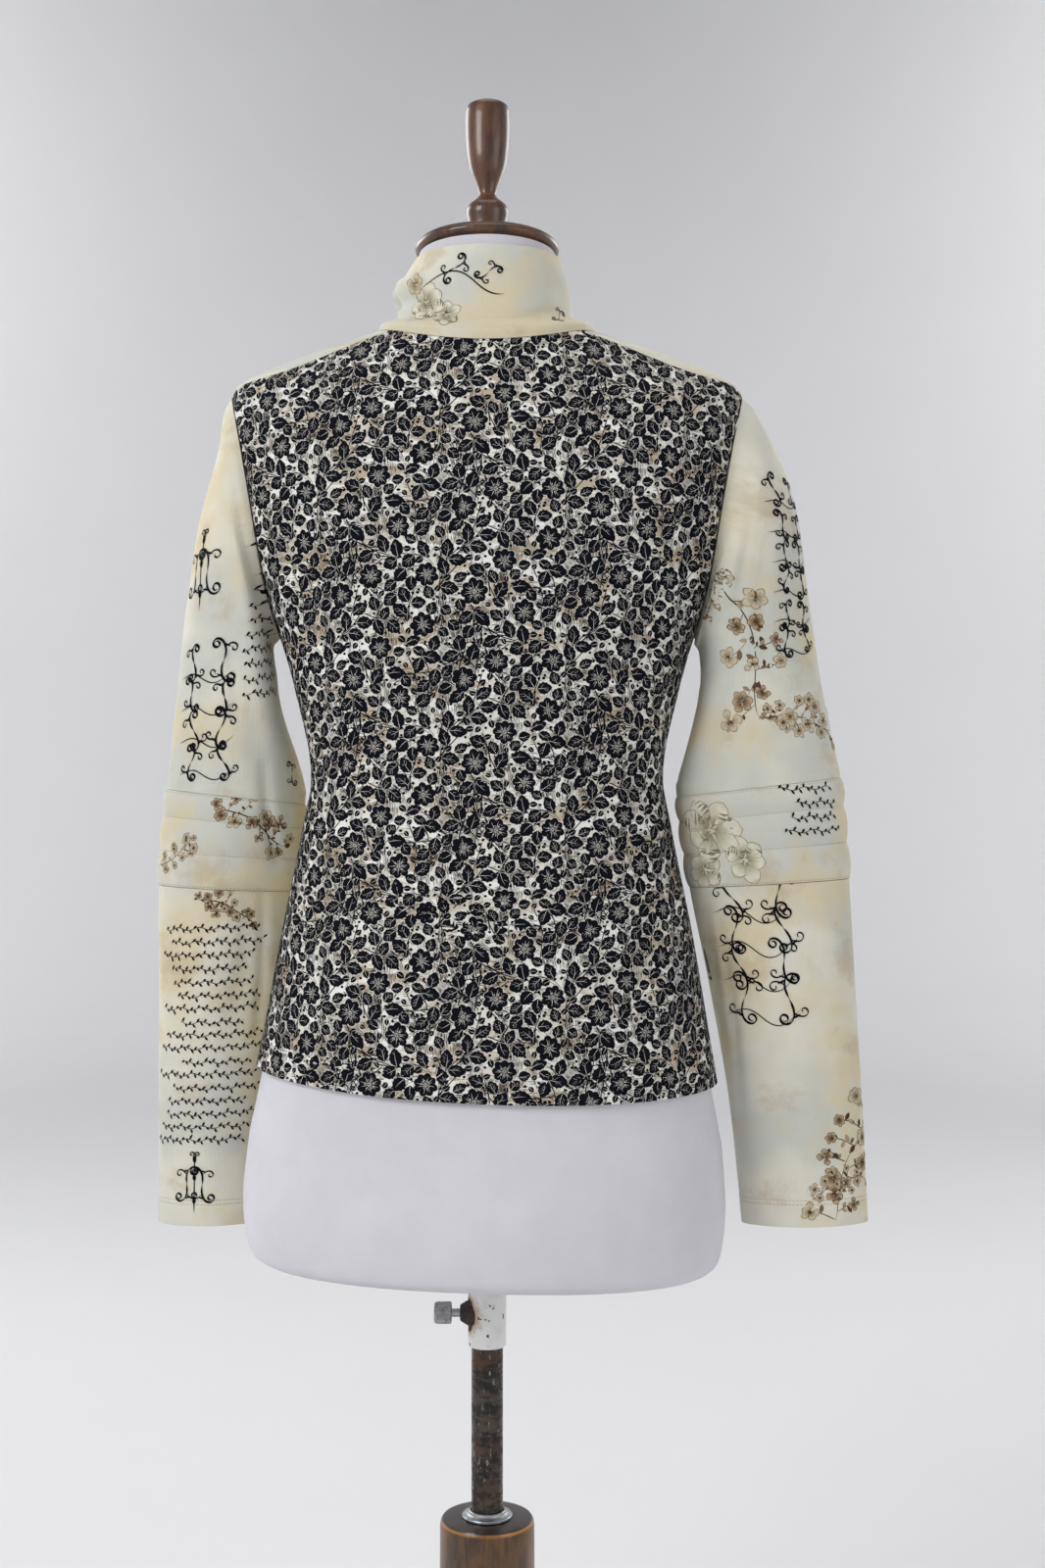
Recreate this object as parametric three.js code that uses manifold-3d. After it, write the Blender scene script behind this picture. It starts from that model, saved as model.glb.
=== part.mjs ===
// Zip-front track jacket with a tall stand collar and banded elbows, worn by a limbless dress form on a
// turned wooden stand. Millimetres, +Z up. The origin is the middle of the base's underside, on the pole's
// axis. +Y is out of the jacket's front and +X is the wearer's right.
import * as THREE from "three";
import { mergeVertices } from "three/addons/utils/BufferGeometryUtils.js";
import Module from "manifold-3d";

const wasm = await Module();
wasm.setup();

// Driving sizes
const cloth = 1.8; // wall of every cloth piece
const seam = 0.3; // gap between two pieces that are sewn together
const shoulderSeam = 0.5; // angle of the shoulder seam behind the ridge of the shoulder, radians
const armholeTop = 0.12; // the seam's angle behind the ridge where it meets the armhole
const frontArmhole = 0.6; // half opening of the armhole towards the front, radians
const backArmhole = 0.33; // half opening towards the back, radians
const armholeRound = 0.6; // how full the ends of the armhole's oval are
const zipWidth = 11;
const neckTilt = 0.07; // forward lean of the neck, radians
const capRadius = 56;
const capThickness = 10;
const poleRadius = 12.2;
const socketRadius = 14.8;
const columnRadius = 36.7;
const columnTop = 322;
const baseRadius = 190;
const baseThickness = 24;
const formBottom = 519;
const neckTop = 1300;

// The jacket body's outer surface as rings from hem to neck. Side, front and back are reaches from the pole's
// axis, and the Z columns are the ring's heights there. Round is the exponent of the ring's section, where 2
// is an ellipse. Ease is the room between the cloth's outer face and the dress form, and armEase is more room
// at the side, where the form has no arm. Slope is the ring's fall towards the right.
const bodyRings = [
  { at: "hem", side: 177, sideZ: 668, front: 114, frontZ: 663, back: 112, backZ: 660, round: 2.3, ease: 5, slope: 0.04 },
  { at: "hip", side: 171, sideZ: 702, front: 114, frontZ: 700, back: 113, backZ: 700, round: 2.3, ease: 5, slope: 0.02 },
  { at: "high hip", side: 158, sideZ: 776, front: 108, frontZ: 776, back: 105, backZ: 776, round: 2.3, ease: 6 },
  { at: "belly", side: 143, sideZ: 852, front: 101, frontZ: 852, back: 89, backZ: 852, round: 2.3, ease: 8 },
  { at: "waist", side: 136, sideZ: 902, front: 98, frontZ: 902, back: 80, backZ: 902, round: 2.3, ease: 9 },
  { at: "rib", side: 148, sideZ: 962, front: 110, frontZ: 960, back: 87, backZ: 962, round: 2.3, ease: 6 },
  { at: "underarm", side: 160, sideZ: 1004, front: 122, frontZ: 1008, back: 93, backZ: 1008, round: 2.3, ease: 5 },
  { at: "low arm", side: 177, sideZ: 1050, front: 124, frontZ: 1046, back: 97, backZ: 1050, round: 2.3, ease: 5, armEase: 10 },
  { at: "mid arm", side: 190, sideZ: 1100, front: 116, frontZ: 1086, back: 99, backZ: 1092, round: 2.3, ease: 5, armEase: 14 },
  { at: "high arm", side: 198, sideZ: 1150, front: 104, frontZ: 1122, back: 96, backZ: 1134, round: 2.2, ease: 5, armEase: 8 },
  { at: "shoulder", side: 198, sideZ: 1187, front: 91, frontZ: 1154, back: 89, backZ: 1168, round: 2, ease: 2.85 },
  { at: "over shoulder", side: 184, sideZ: 1203, front: 84, frontZ: 1168, back: 84, backZ: 1185, round: 1.8, ease: 2.85 },
  { at: "mid shoulder", side: 140, sideZ: 1221, front: 76, frontZ: 1182, back: 79, backZ: 1200, round: 1.7, ease: 2.85 },
  { at: "neck", side: 84, sideZ: 1238, front: 66, frontZ: 1204, back: 71, backZ: 1219, round: 2.1, ease: 3.8 },
];
const underarm = 6;
const shoulder = 10;
const neck = 13;

// The collar's outer surface, from its seam to its top edge. Lean is the ring's shift towards the front and
// shift is its sides' shift to the right.
const collarRings = [
  { at: "seam", side: 84, sideZ: 1238.4, front: 66, frontZ: 1204.4, back: 71, backZ: 1219.4, round: 2.1 },
  { at: "roll", side: 82, sideZ: 1244, front: 66, frontZ: 1215, back: 71, backZ: 1227, round: 2.1, lean: 1 },
  { at: "crease", side: 70, sideZ: 1248, front: 61, frontZ: 1223, back: 65, backZ: 1234, round: 2.1, lean: 2, shift: -1 },
  { at: "over crease", side: 68, sideZ: 1255, front: 65, frontZ: 1233, back: 65, backZ: 1241, round: 2.1, lean: 3, shift: -2 },
  { at: "middle", side: 66, sideZ: 1270, front: 64, frontZ: 1252, back: 62, backZ: 1260, round: 2.1, lean: 4, shift: -2 },
  { at: "upper", side: 62, sideZ: 1284, front: 62, frontZ: 1269, back: 60, backZ: 1279, round: 2.1, lean: 5, shift: -1 },
  { at: "top", side: 57, sideZ: 1295, front: 58, frontZ: 1283, back: 57, backZ: 1295, round: 2.1, lean: 6, shift: 1 },
];

// The dress form's own rings below the jacket, and above it from the neck's root to its top. Tilt is the slope
// of a ring's plane, down to the front.
const hipRings = [
  { at: "underside", side: 160, sideZ: 519, front: 92, frontZ: 519, back: 93, backZ: 519, round: 2.3, slope: 0.03, shift: -2 },
  { at: "lower edge", side: 174, sideZ: 523, front: 104, frontZ: 523, back: 106, backZ: 523, round: 2.3, slope: 0.03, shift: -2 },
  { at: "edge", side: 182, sideZ: 534, front: 111, frontZ: 533, back: 113, backZ: 533, round: 2.3, slope: 0.03, shift: -2 },
  { at: "seat", side: 186, sideZ: 570, front: 114, frontZ: 570, back: 116, backZ: 570, round: 2.3, slope: 0.03, shift: -2 },
  { at: "seat top", side: 182, sideZ: 618, front: 112, frontZ: 614, back: 114, backZ: 612, round: 2.3, slope: 0.03, shift: -1 },
];
const neckRings = [
  { at: "neck root", side: 63, sideZ: 1246, front: 53, frontZ: 1222, back: 56, backZ: 1233, round: 2.05, lean: 2 },
  { at: "mid neck", side: 54, sideZ: 1266, front: 51, frontZ: 1252, back: 52, backZ: 1260, round: 2.05, lean: 4 },
  { at: "neck top", side: 53, sideZ: neckTop, front: 53, frontZ: neckTop, back: 52, backZ: neckTop, round: 2.05, lean: 6, tilt: neckTilt },
];

// Each sleeve's rings below the armhole. Outer and inner are the two edges seen from behind, as a reach from
// the pole's axis and a height. Lean is the ring's shift towards the front, front and back are its half
// depths there, and round is the exponent of the section, where less than 2 has sharper edges.
const sleeveRings = {
  right: [
    { at: "cap", outerX: 221, outerZ: 1153, innerX: 167, innerZ: 994, lean: 3, front: 62, back: 56, round: 2.1 },
    { at: "biceps", outerX: 239, outerZ: 1105, innerX: 166, innerZ: 966, lean: 3, front: 56, back: 50, round: 2.1 },
    { at: "upper", outerX: 249, outerZ: 1036, innerX: 160, innerZ: 938, lean: 2, front: 46, back: 42, round: 2 },
    { at: "low upper", outerX: 259, outerZ: 968, innerX: 153, innerZ: 912, lean: 1, front: 38, back: 36, round: 2 },
    { at: "over band", outerX: 271, outerZ: 910, innerX: 148, innerZ: 894, lean: 1, front: 34, back: 33, round: 1.9 },
    { at: "band top", outerX: 274, outerZ: 895, innerX: 147, innerZ: 880, lean: 1, front: 33, back: 32, round: 1.9 },
    { at: "band foot", outerX: 281, outerZ: 817, innerX: 157, innerZ: 810, lean: 3, front: 30, back: 29, round: 1.9 },
    { at: "forearm", outerX: 286, outerZ: 740, innerX: 172, innerZ: 737, lean: 6, front: 27, back: 27, round: 1.8 },
    { at: "low forearm", outerX: 292, outerZ: 648, innerX: 188, innerZ: 647, lean: 10, front: 25, back: 25, round: 1.8 },
    { at: "cuff", outerX: 297, outerZ: 549, innerX: 199, innerZ: 548, lean: 12, front: 23, back: 23, round: 1.8 },
  ],
  left: [
    { at: "cap", outerX: 209, outerZ: 1143, innerX: 167, innerZ: 992, lean: 5, front: 60, back: 54, round: 2.1 },
    { at: "biceps", outerX: 224, outerZ: 1092, innerX: 165, innerZ: 962, lean: 10, front: 55, back: 50, round: 2.1 },
    { at: "upper", outerX: 236, outerZ: 1022, innerX: 158, innerZ: 935, lean: 16, front: 50, back: 46, round: 2 },
    { at: "low upper", outerX: 245, outerZ: 955, innerX: 150, innerZ: 910, lean: 24, front: 44, back: 42, round: 2 },
    { at: "over band", outerX: 252, outerZ: 899, innerX: 145, innerZ: 889, lean: 31, front: 41, back: 39, round: 1.9 },
    { at: "band top", outerX: 254, outerZ: 886, innerX: 145, innerZ: 874, lean: 33, front: 40, back: 38, round: 1.9 },
    { at: "band foot", outerX: 262, outerZ: 810, innerX: 154, innerZ: 805, lean: 42, front: 37, back: 35, round: 1.9 },
    { at: "forearm", outerX: 264, outerZ: 735, innerX: 165, innerZ: 733, lean: 52, front: 34, back: 33, round: 1.8 },
    { at: "low forearm", outerX: 266, outerZ: 640, innerX: 173, innerZ: 639, lean: 60, front: 31, back: 30, round: 1.8 },
    { at: "cuff", outerX: 267, outerZ: 537, innerX: 178, innerZ: 539, lean: 67, front: 29, back: 28, round: 1.8 },
  ],
};
const bandTop = 7;
const bandFoot = 8;
const cuff = 11;

// Folds as soft troughs (depth above 0) or ridges (below 0) along a line from x1, z1 to x2, z2, seen square
// from the back or the front.
const bodyFolds = [
  { side: "back", x1: -70, z1: 800, x2: 34, z2: 786, width: 7, depth: 3.4 },
  { side: "back", x1: -64, z1: 816, x2: 40, z2: 803, width: 9, depth: -2.6 },
  { side: "back", x1: -120, z1: 842, x2: -44, z2: 862, width: 9, depth: 2.6 },
  { side: "back", x1: 52, z1: 858, x2: 124, z2: 838, width: 9, depth: 2.6 },
  { side: "back", x1: 66, z1: 740, x2: 138, z2: 766, width: 10, depth: 2.4 },
  { side: "back", x1: 138, z1: 1046, x2: 112, z2: 960, width: 9, depth: 2.2 },
  { side: "back", x1: -138, z1: 1046, x2: -112, z2: 960, width: 9, depth: 2.2 },
  { side: "front", x1: -118, z1: 850, x2: -34, z2: 872, width: 10, depth: 2.6 },
  { side: "front", x1: 30, z1: 868, x2: 116, z2: 842, width: 10, depth: 2.6 },
  { side: "front", x1: 132, z1: 1070, x2: 96, z2: 1020, width: 9, depth: 2 },
  { side: "front", x1: -132, z1: 1070, x2: -96, z2: 1020, width: 9, depth: 2 },
  { side: "front", x1: -96, z1: 716, x2: -30, z2: 748, width: 11, depth: 2 },
];
const sleeveFolds = {
  right: [
    { side: "back", x1: 188, z1: 1080, x2: 158, z2: 960, width: 9, depth: -4.5 },
    { side: "back", x1: 198, z1: 1120, x2: 184, z2: 1000, width: 10, depth: 3.6 },
    { side: "back", x1: 180, z1: 960, x2: 170, z2: 905, width: 8, depth: 3 },
    { side: "back", x1: 168, z1: 800, x2: 186, z2: 660, width: 6, depth: 3 },
    { side: "front", x1: 196, z1: 1110, x2: 178, z2: 985, width: 10, depth: 3.4 },
    { side: "front", x1: 226, z1: 1080, x2: 214, z2: 960, width: 12, depth: 2.6 },
    { side: "front", x1: 200, z1: 800, x2: 232, z2: 742, width: 9, depth: 2.2 },
  ],
  left: [
    { side: "back", x1: -192, z1: 1110, x2: -168, z2: 985, width: 9, depth: 3.4 },
    { side: "back", x1: -182, z1: 1060, x2: -160, z2: 950, width: 8, depth: -3.4 },
    { side: "back", x1: -196, z1: 1010, x2: -176, z2: 905, width: 10, depth: 2.8 },
    { side: "back", x1: -186, z1: 800, x2: -204, z2: 690, width: 9, depth: 2 },
    { side: "front", x1: -194, z1: 1110, x2: -172, z2: 985, width: 10, depth: 3.4 },
    { side: "front", x1: -222, z1: 1060, x2: -206, z2: 950, width: 11, depth: 2.6 },
    { side: "front", x1: -190, z1: 792, x2: -222, z2: 742, width: 9, depth: 2.2 },
  ],
};
const collarFolds = [
  { side: "back", x1: -76, z1: 1262, x2: -46, z2: 1256, width: 6, depth: 4 },
  { side: "back", x1: -72, z1: 1275, x2: -52, z2: 1274, width: 7, depth: -5 },
  { side: "front", x1: -80, z1: 1274, x2: -42, z2: 1262, width: 9, depth: -6 },
  { side: "front", x1: -70, z1: 1256, x2: -30, z2: 1246, width: 6, depth: 3 },
  { side: "front", x1: 20, z1: 1240, x2: 66, z2: 1252, width: 6, depth: 2.4 },
];
const bust = { x: 72, z: 1046, wide: 46, high: 50, depth: 15 };
const bandRib = 1.6; // rise of each of the elbow band's stitched channels
const bandChannels = 3;

// Surfaces

const lerp = THREE.MathUtils.lerp;
const clamp = THREE.MathUtils.clamp;
const power = (value, exponent) => Math.sign(value) * Math.abs(value) ** exponent;

// Catmull-Rom through a table's column, running straight on past its two ends.
function column(rows, key, at) {
  const last = rows.length - 1;
  const row = clamp(Math.floor(at), 0, last - 1);
  const read = (index) => rows[index][key] ?? 0;
  const [b, c] = [read(row), read(row + 1)];
  const a = row > 0 ? read(row - 1) : 2 * b - c;
  const d = row + 1 < last ? read(row + 2) : 2 * c - b;
  const t = at - row;
  return b + 0.5 * t * (c - a + t * (2 * a - 5 * b + 4 * c - d + t * (3 * (b - c) + d - a)));
}

// A point on a ring of the body, collar or form. Turn is 0 at the right side and a quarter turn at the front.
function ringPoint(rows, at, turn) {
  const across = Math.cos(turn);
  const along = Math.sin(turn);
  const face = along >= 0 ? "front" : "back";
  const exponent = column(rows, "round", at);
  const x = column(rows, "side", at) * power(across, 2 / exponent);
  const y = column(rows, face, at) * power(along, 2 / exponent);
  const level = lerp(column(rows, "sideZ", at), column(rows, face + "Z", at), along * along);
  const z = level - x * column(rows, "slope", at) - y * Math.tan(column(rows, "tilt", at));
  return new THREE.Vector3(x + column(rows, "shift", at) * across * across, y + column(rows, "lean", at), z);
}

function bodyPoint(at, turn) {
  const point = ringPoint(bodyRings, at, turn);
  if (point.y > 0) {
    const across = (Math.abs(point.x) - bust.x) / bust.wide;
    const up = (point.z - bust.z) / bust.high;
    point.y += bust.depth * Math.exp(-across * across - up * up);
  }
  return point;
}

// How far a list of folds moves a point inwards.
function foldDepth(folds, point, middleY) {
  const side = point.y > middleY ? "front" : "back";
  let depth = 0;
  for (const fold of folds.filter((row) => row.side === side)) {
    const runX = fold.x2 - fold.x1;
    const runZ = fold.z2 - fold.z1;
    const along = ((point.x - fold.x1) * runX + (point.z - fold.z1) * runZ) / (runX * runX + runZ * runZ);
    const t = clamp(along, 0, 1);
    const offX = point.x - fold.x1 - t * runX;
    const offZ = point.z - fold.z1 - t * runZ;
    const taper = Math.sin(Math.PI * (0.15 + 0.7 * t));
    depth += fold.depth * taper * Math.exp(-(offX * offX + offZ * offZ) / fold.width ** 2);
  }
  return depth;
}

// Moves a surface's point in by a depth, along the surface's own normal. The surface faces out where its
// second direction, turned from the first, points away from the solid.
function moveIn(surface, u, v, depth) {
  const step = 1e-3;
  const alongU = surface(u + step, v).sub(surface(u - step, v));
  const alongV = surface(u, v + step).sub(surface(u, v - step));
  const outwards = alongU.cross(alongV).normalize();
  return surface(u, v).addScaledVector(outwards, -depth);
}

// Solids

function meshOf(name, geometry, finish) {
  geometry.computeVertexNormals();
  const mesh = new THREE.Mesh(geometry, finish);
  mesh.name = name;
  return mesh;
}

function geometryOf(points, triangles) {
  const geometry = new THREE.BufferGeometry();
  geometry.setAttribute("position", new THREE.Float32BufferAttribute(points.flatMap((p) => p.toArray()), 3));
  geometry.setIndex(triangles.flat());
  return geometry;
}

// A closed wall of cloth. Place(u, v, depth) gives its points, with depth 0 on the outer face. A tube's us
// run once round without repeating the first. Flip is true where place runs the other way round.
function clothWall(us, vs, place, { tube = false, flip = false } = {}) {
  const points = [];
  for (const depth of [0, cloth]) for (const v of vs) for (const u of us) points.push(place(u, v, depth));
  const wide = us.length;
  const layer = wide * vs.length;
  const index = (i, j, inner) => inner * layer + j * wide + (i % wide);
  const triangles = [];
  const quad = (a, b, c, d) => triangles.push(...(flip ? [[a, c, b], [a, d, c]] : [[a, b, c], [a, c, d]]));
  const steps = tube ? wide : wide - 1;
  const top = vs.length - 1;
  for (let i = 0; i < steps; i += 1) {
    for (let j = 0; j < top; j += 1) {
      quad(index(i, j, 0), index(i + 1, j, 0), index(i + 1, j + 1, 0), index(i, j + 1, 0));
      quad(index(i, j, 1), index(i, j + 1, 1), index(i + 1, j + 1, 1), index(i + 1, j, 1));
    }
    quad(index(i, 0, 0), index(i, 0, 1), index(i + 1, 0, 1), index(i + 1, 0, 0));
    quad(index(i, top, 0), index(i + 1, top, 0), index(i + 1, top, 1), index(i, top, 1));
  }
  for (let j = 0; j < top && !tube; j += 1) {
    quad(index(0, j, 0), index(0, j + 1, 0), index(0, j + 1, 1), index(0, j, 1));
    quad(index(steps, j, 0), index(steps, j, 1), index(steps, j + 1, 1), index(steps, j + 1, 0));
  }
  return geometryOf(points, triangles);
}

// A closed solid through a stack of rings, with a point that closes each end.
function ringStack(rings, firstEnd, lastEnd) {
  const around = rings[0].length;
  const points = [...rings.flat(), firstEnd, lastEnd];
  const first = points.length - 2;
  const last = points.length - 1;
  const top = (rings.length - 1) * around;
  const triangles = [];
  for (let i = 0; i < around; i += 1) {
    const next = (i + 1) % around;
    triangles.push([first, next, i], [last, top + i, top + next]);
    for (let row = 0; row < top; row += around) {
      triangles.push([row + i, row + next, row + around + next], [row + i, row + around + next, row + around + i]);
    }
  }
  return geometryOf(points, triangles);
}

// A turned solid about Z from rows of radius and height, run so that its faces point out.
function turned(profile, segments) {
  const points = profile.map(([radius, z]) => new THREE.Vector2(radius, z));
  const geometry = new THREE.LatheGeometry(points, segments).rotateX(Math.PI / 2);
  return sealed(geometry);
}

function sealed(geometry) {
  geometry.deleteAttribute("normal");
  geometry.deleteAttribute("uv");
  const merged = mergeVertices(geometry, 1e-3);
  const corners = merged.index.array;
  const kept = [];
  for (let i = 0; i < corners.length; i += 3) {
    const [a, b, c] = corners.slice(i, i + 3);
    if (a !== b && b !== c && c !== a) kept.push(a, b, c);
  }
  merged.setIndex(kept);
  return merged;
}

function manifoldOf(geometry) {
  const clean = sealed(geometry);
  return new wasm.Manifold(
    new wasm.Mesh({
      numProp: 3,
      vertProperties: clean.attributes.position.array,
      triVerts: new Uint32Array(clean.index.array),
    }),
  );
}

function geometryFrom(solid) {
  const made = solid.getMesh();
  const geometry = new THREE.BufferGeometry();
  geometry.setAttribute("position", new THREE.BufferAttribute(new Float32Array(made.vertProperties), 3));
  geometry.setIndex([...made.triVerts]);
  return geometry;
}

// Finishes
const finish = (color, roughness, metalness = 0) => new THREE.MeshStandardMaterial({ color, roughness, metalness });
const floralJersey = finish(0x8d8478, 0.8);
const creamJersey = finish(0xe2dfcb, 0.8);
const formCover = finish(0xe9e6ea, 0.9);
const darkWood = finish(0x4a2a14, 0.4);
const columnWood = finish(0x6b3f1c, 0.45);
const whitePaint = finish(0xdcdcd8, 0.45);
const oldSteel = finish(0x4a443e, 0.35, 0.9);
const brightSteel = finish(0x9a9c9c, 0.3, 0.9);
const zipTape = finish(0xc9c4ae, 0.7);

// Jacket body

// The two edges of an armhole, or of the shoulder seam above it, as turns at a ring.
function sideEdges(at) {
  const t = clamp((at - underarm) / (shoulder - underarm), 0, 1);
  const open = Math.sin(Math.PI * t) ** armholeRound;
  const drift = armholeTop * t + (shoulderSeam - armholeTop) * THREE.MathUtils.smoothstep(at, shoulder, shoulder + 1.4);
  return { front: frontArmhole * open - drift, back: -backArmhole * open - drift };
}

// The turn that takes a ring from its middle line to a distance beside it.
function turnFor(rows, at, distance) {
  return Math.asin((distance / column(rows, "side", at)) ** (column(rows, "round", at) / 2));
}

// The turn that covers half of a seam's gap at a place on the body, and more on the slanting shoulder seam.
function seamTurn(at, turn) {
  const step = 1e-3;
  const speed = bodyPoint(at, turn + step).distanceTo(bodyPoint(at, turn - step)) / (2 * step);
  const share = at > shoulder ? 1 : 0.5;
  return (share * seam) / speed;
}

const armholeSteps = 24;
const armholeRows = Array.from({ length: armholeSteps / 2 + 1 }, (_, i) =>
  lerp(underarm, shoulder, (1 - Math.cos((2 * Math.PI * i) / armholeSteps)) / 2),
);
const lowerRows = [0, 0.6, 1.2, 1.7, 2.05, 2.25, 2.5, 2.8, 3.3, 3.8, 4.4, 5.2];
const upperRows = [10.4, 11, 12, 12.5, neck];
const bodyRows = [...lowerRows, ...armholeRows, ...upperRows];

function bodyCloth(at, turn, depth) {
  const inwards = depth + foldDepth(bodyFolds, bodyPoint(at, turn), 0);
  return moveIn((u, v) => bodyPoint(v, u), turn, at, inwards);
}

function backPanel() {
  const columns = Array.from({ length: 21 }, (_, i) => i / 10 - 1);
  const place = (u, at, depth) => {
    const { back } = sideEdges(at);
    const edge = back - seamTurn(at, back);
    return bodyCloth(at, -Math.PI / 2 + u * (edge + Math.PI / 2), depth);
  };
  return clothWall(columns, bodyRows, place);
}

// The front panel of one side, from the zip to the side seam, the armhole and the shoulder seam.
function frontPanel(left) {
  const columns = Array.from({ length: 11 }, (_, i) => i / 10);
  const place = (u, at, depth) => {
    const { front } = sideEdges(at);
    const edge = front + seamTurn(at, front);
    const turn = lerp(edge, Math.PI / 2 - turnFor(bodyRings, at, zipWidth / 2 + seam), u);
    return bodyCloth(at, left ? Math.PI - turn : turn, depth);
  };
  return clothWall(columns, bodyRows, place, { flip: left });
}

// Collar

function collarPoint(at, turn) {
  return ringPoint(collarRings, at, turn);
}

function collarCloth(at, turn, depth) {
  const inwards = depth + foldDepth(collarFolds, collarPoint(at, turn), 0);
  return moveIn((u, v) => collarPoint(v, u), turn, at, inwards);
}

const collarRows = [0, 0.5, 1, 1.5, 2, 2.5, 3, 3.5, 4, 4.7, 5.4, 6];

function collar() {
  const columns = Array.from({ length: 31 }, (_, i) => i / 30);
  const place = (u, at, depth) => {
    const zipTurn = turnFor(collarRings, at, zipWidth / 2 + seam);
    return collarCloth(at, Math.PI / 2 + zipTurn + u * 2 * (Math.PI - zipTurn), depth);
  };
  return clothWall(columns, collarRows, place);
}

// The zip's tape and teeth as one strip up the centre front, from the hem to the collar's top.
function zip() {
  const frontRows = [
    ...bodyRows.map((at) => ({ at, surface: (u, v) => bodyPoint(v, u), flex: bodyRings })),
    ...collarRows.slice(1).map((at) => ({ at, surface: (u, v) => collarPoint(v, u), flex: collarRings })),
  ];
  const place = (u, row, depth) => {
    const { at, surface } = frontRows[row];
    const middle = moveIn(surface, Math.PI / 2, at, depth);
    return middle.setX((-u * zipWidth) / 2);
  };
  return clothWall([-1, 1], frontRows.map((_, row) => row), place);
}

// Sleeves

const around = armholeSteps;
const turns = Array.from({ length: around }, (_, i) => (2 * Math.PI * i) / around);

// The armhole's own loop on the body, with turn 0 at the shoulder and half a turn at the underarm.
function armholePoint(turn) {
  const at = lerp(underarm, shoulder, (1 + Math.cos(turn)) / 2);
  const { front, back } = sideEdges(at);
  const place = Math.sin(turn) >= 0 ? front : back;
  const point = bodyPoint(at, place);
  const inside = moveIn((u, v) => bodyPoint(v, u), place, at, 1);
  return { point, outwards: point.clone().sub(inside) };
}

function sleeveRing(row, turn) {
  const across = power(Math.cos(turn), 2 / row.round);
  const depth = (Math.sin(turn) >= 0 ? row.front : row.back) * power(Math.sin(turn), 2 / row.round);
  const t = (1 + across) / 2;
  return new THREE.Vector3(lerp(row.innerX, row.outerX, t), row.lean + depth, lerp(row.innerZ, row.outerZ, t));
}

// A sleeve's surface, with at 0 at the armhole, 1 at its rounded head and 2 on at each row of its table. Its
// turns run backwards, so that the surface faces out on its way down the arm.
function sleeveSurface(rows) {
  const clearance = 0.7;
  const headShare = 0.3; // the head's place on the way from the armhole to the first ring
  return (turn, at) => {
    const rings = rows.map((row) => sleeveRing(row, -turn));
    const { point, outwards } = armholePoint(-turn);
    const rise = lerp(1, 3, (1 + Math.cos(turn)) / 2);
    const head = point.clone().lerp(rings[0], headShare).addScaledVector(outwards, rise);
    const start = point.clone().addScaledVector(head.clone().sub(point).normalize(), clearance);
    const line = [start, head, ...rings].map((p) => ({ x: p.x, y: p.y, z: p.z }));
    return new THREE.Vector3(column(line, "x", at), column(line, "y", at), column(line, "z", at));
  };
}

const upperSleeveRows = [0, 0.4, 1, 1.5, 2, 2.5, 3, 3.5, 4, 4.5, 5, 6, bandTop - 0.01];
const bandRows = Array.from({ length: bandChannels * 3 + 1 }, (_, i) =>
  lerp(bandTop + 0.002, bandFoot - 0.002, i / (bandChannels * 3)),
);
const lowerSleeveRows = [bandFoot + 0.004, 8.3, 8.65, 9, 9.5, 10.2, cuff];

function sleevePiece(side, vs, rib = 0) {
  const rows = sleeveRings[side];
  const surface = sleeveSurface(rows);
  const folds = sleeveFolds[side].map((fold) => ({ ...fold, x1: Math.abs(fold.x1), x2: Math.abs(fold.x2) }));
  const place = (turn, at, depth) => {
    const lean = column(rows, "lean", at - 2);
    const channel = Math.abs(Math.sin((Math.PI * bandChannels * (at - bandTop)) / (bandFoot - bandTop)));
    const raised = depth === 0 ? rib * channel : 0;
    const folded = foldDepth(folds, surface(turn, at), lean) * clamp(at - 0.2, 0, 1);
    const point = moveIn(surface, turn, at, depth - raised + folded);
    return side === "left" ? point.setX(-point.x) : point;
  };
  return clothWall(turns, vs, place, { tube: true, flip: side === "left" });
}

// Dress form

function formRings() {
  const formTurns = Array.from({ length: 28 }, (_, i) => (2 * Math.PI * i) / 28);
  const covered = [0, 1, 2, 2.7, 3.4, 4.1, 5, 6, 6.7, 7.4, 8.2, 9, 9.6, 10, 11, 12, neck];
  const ring = (place) => formTurns.map(place);
  const bore = (z) => ring((turn) => new THREE.Vector3(boreRadius * Math.cos(turn), boreRadius * Math.sin(turn), z));
  const underJacket = (at) =>
    ring((turn) => {
      const depth = column(bodyRings, "ease", at) + column(bodyRings, "armEase", at) * Math.cos(turn) ** 2;
      return moveIn((u, v) => bodyPoint(v, u), turn, at, depth);
    });
  return [
    bore(boreTop),
    bore(formBottom),
    ...hipRings.map((_, at) => ring((turn) => ringPoint(hipRings, at, turn))),
    ...covered.map(underJacket),
    ...neckRings.map((_, at) => ring((turn) => ringPoint(neckRings, at, turn))),
  ];
}

const boreRadius = 15.2;
const boreTop = 830;
const socketFoot = 455;
const socketTop = 560;

function torso() {
  const crown = neckRings[neckRings.length - 1];
  return ringStack(formRings(), new THREE.Vector3(0, 0, boreTop), new THREE.Vector3(0, crown.lean, neckTop));
}

const capProfile = [[0, 0], [50, 0], [55, 2], [capRadius, 5], [54.5, 8], [50, capThickness], [0, capThickness]];
const finialProfile = [
  [0, 0], [14.5, 0], [14.5, 13], [15.4, 18], [16.6, 23], [16.2, 28], [12, 32.5], [7.4, 36.5], [6.9, 39.5],
  [9.1, 47.5], [13.7, 59], [16.3, 73], [17.4, 89], [17.4, 104], [16.4, 109], [12, 111], [0, 111.5],
];

// Stand

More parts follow.
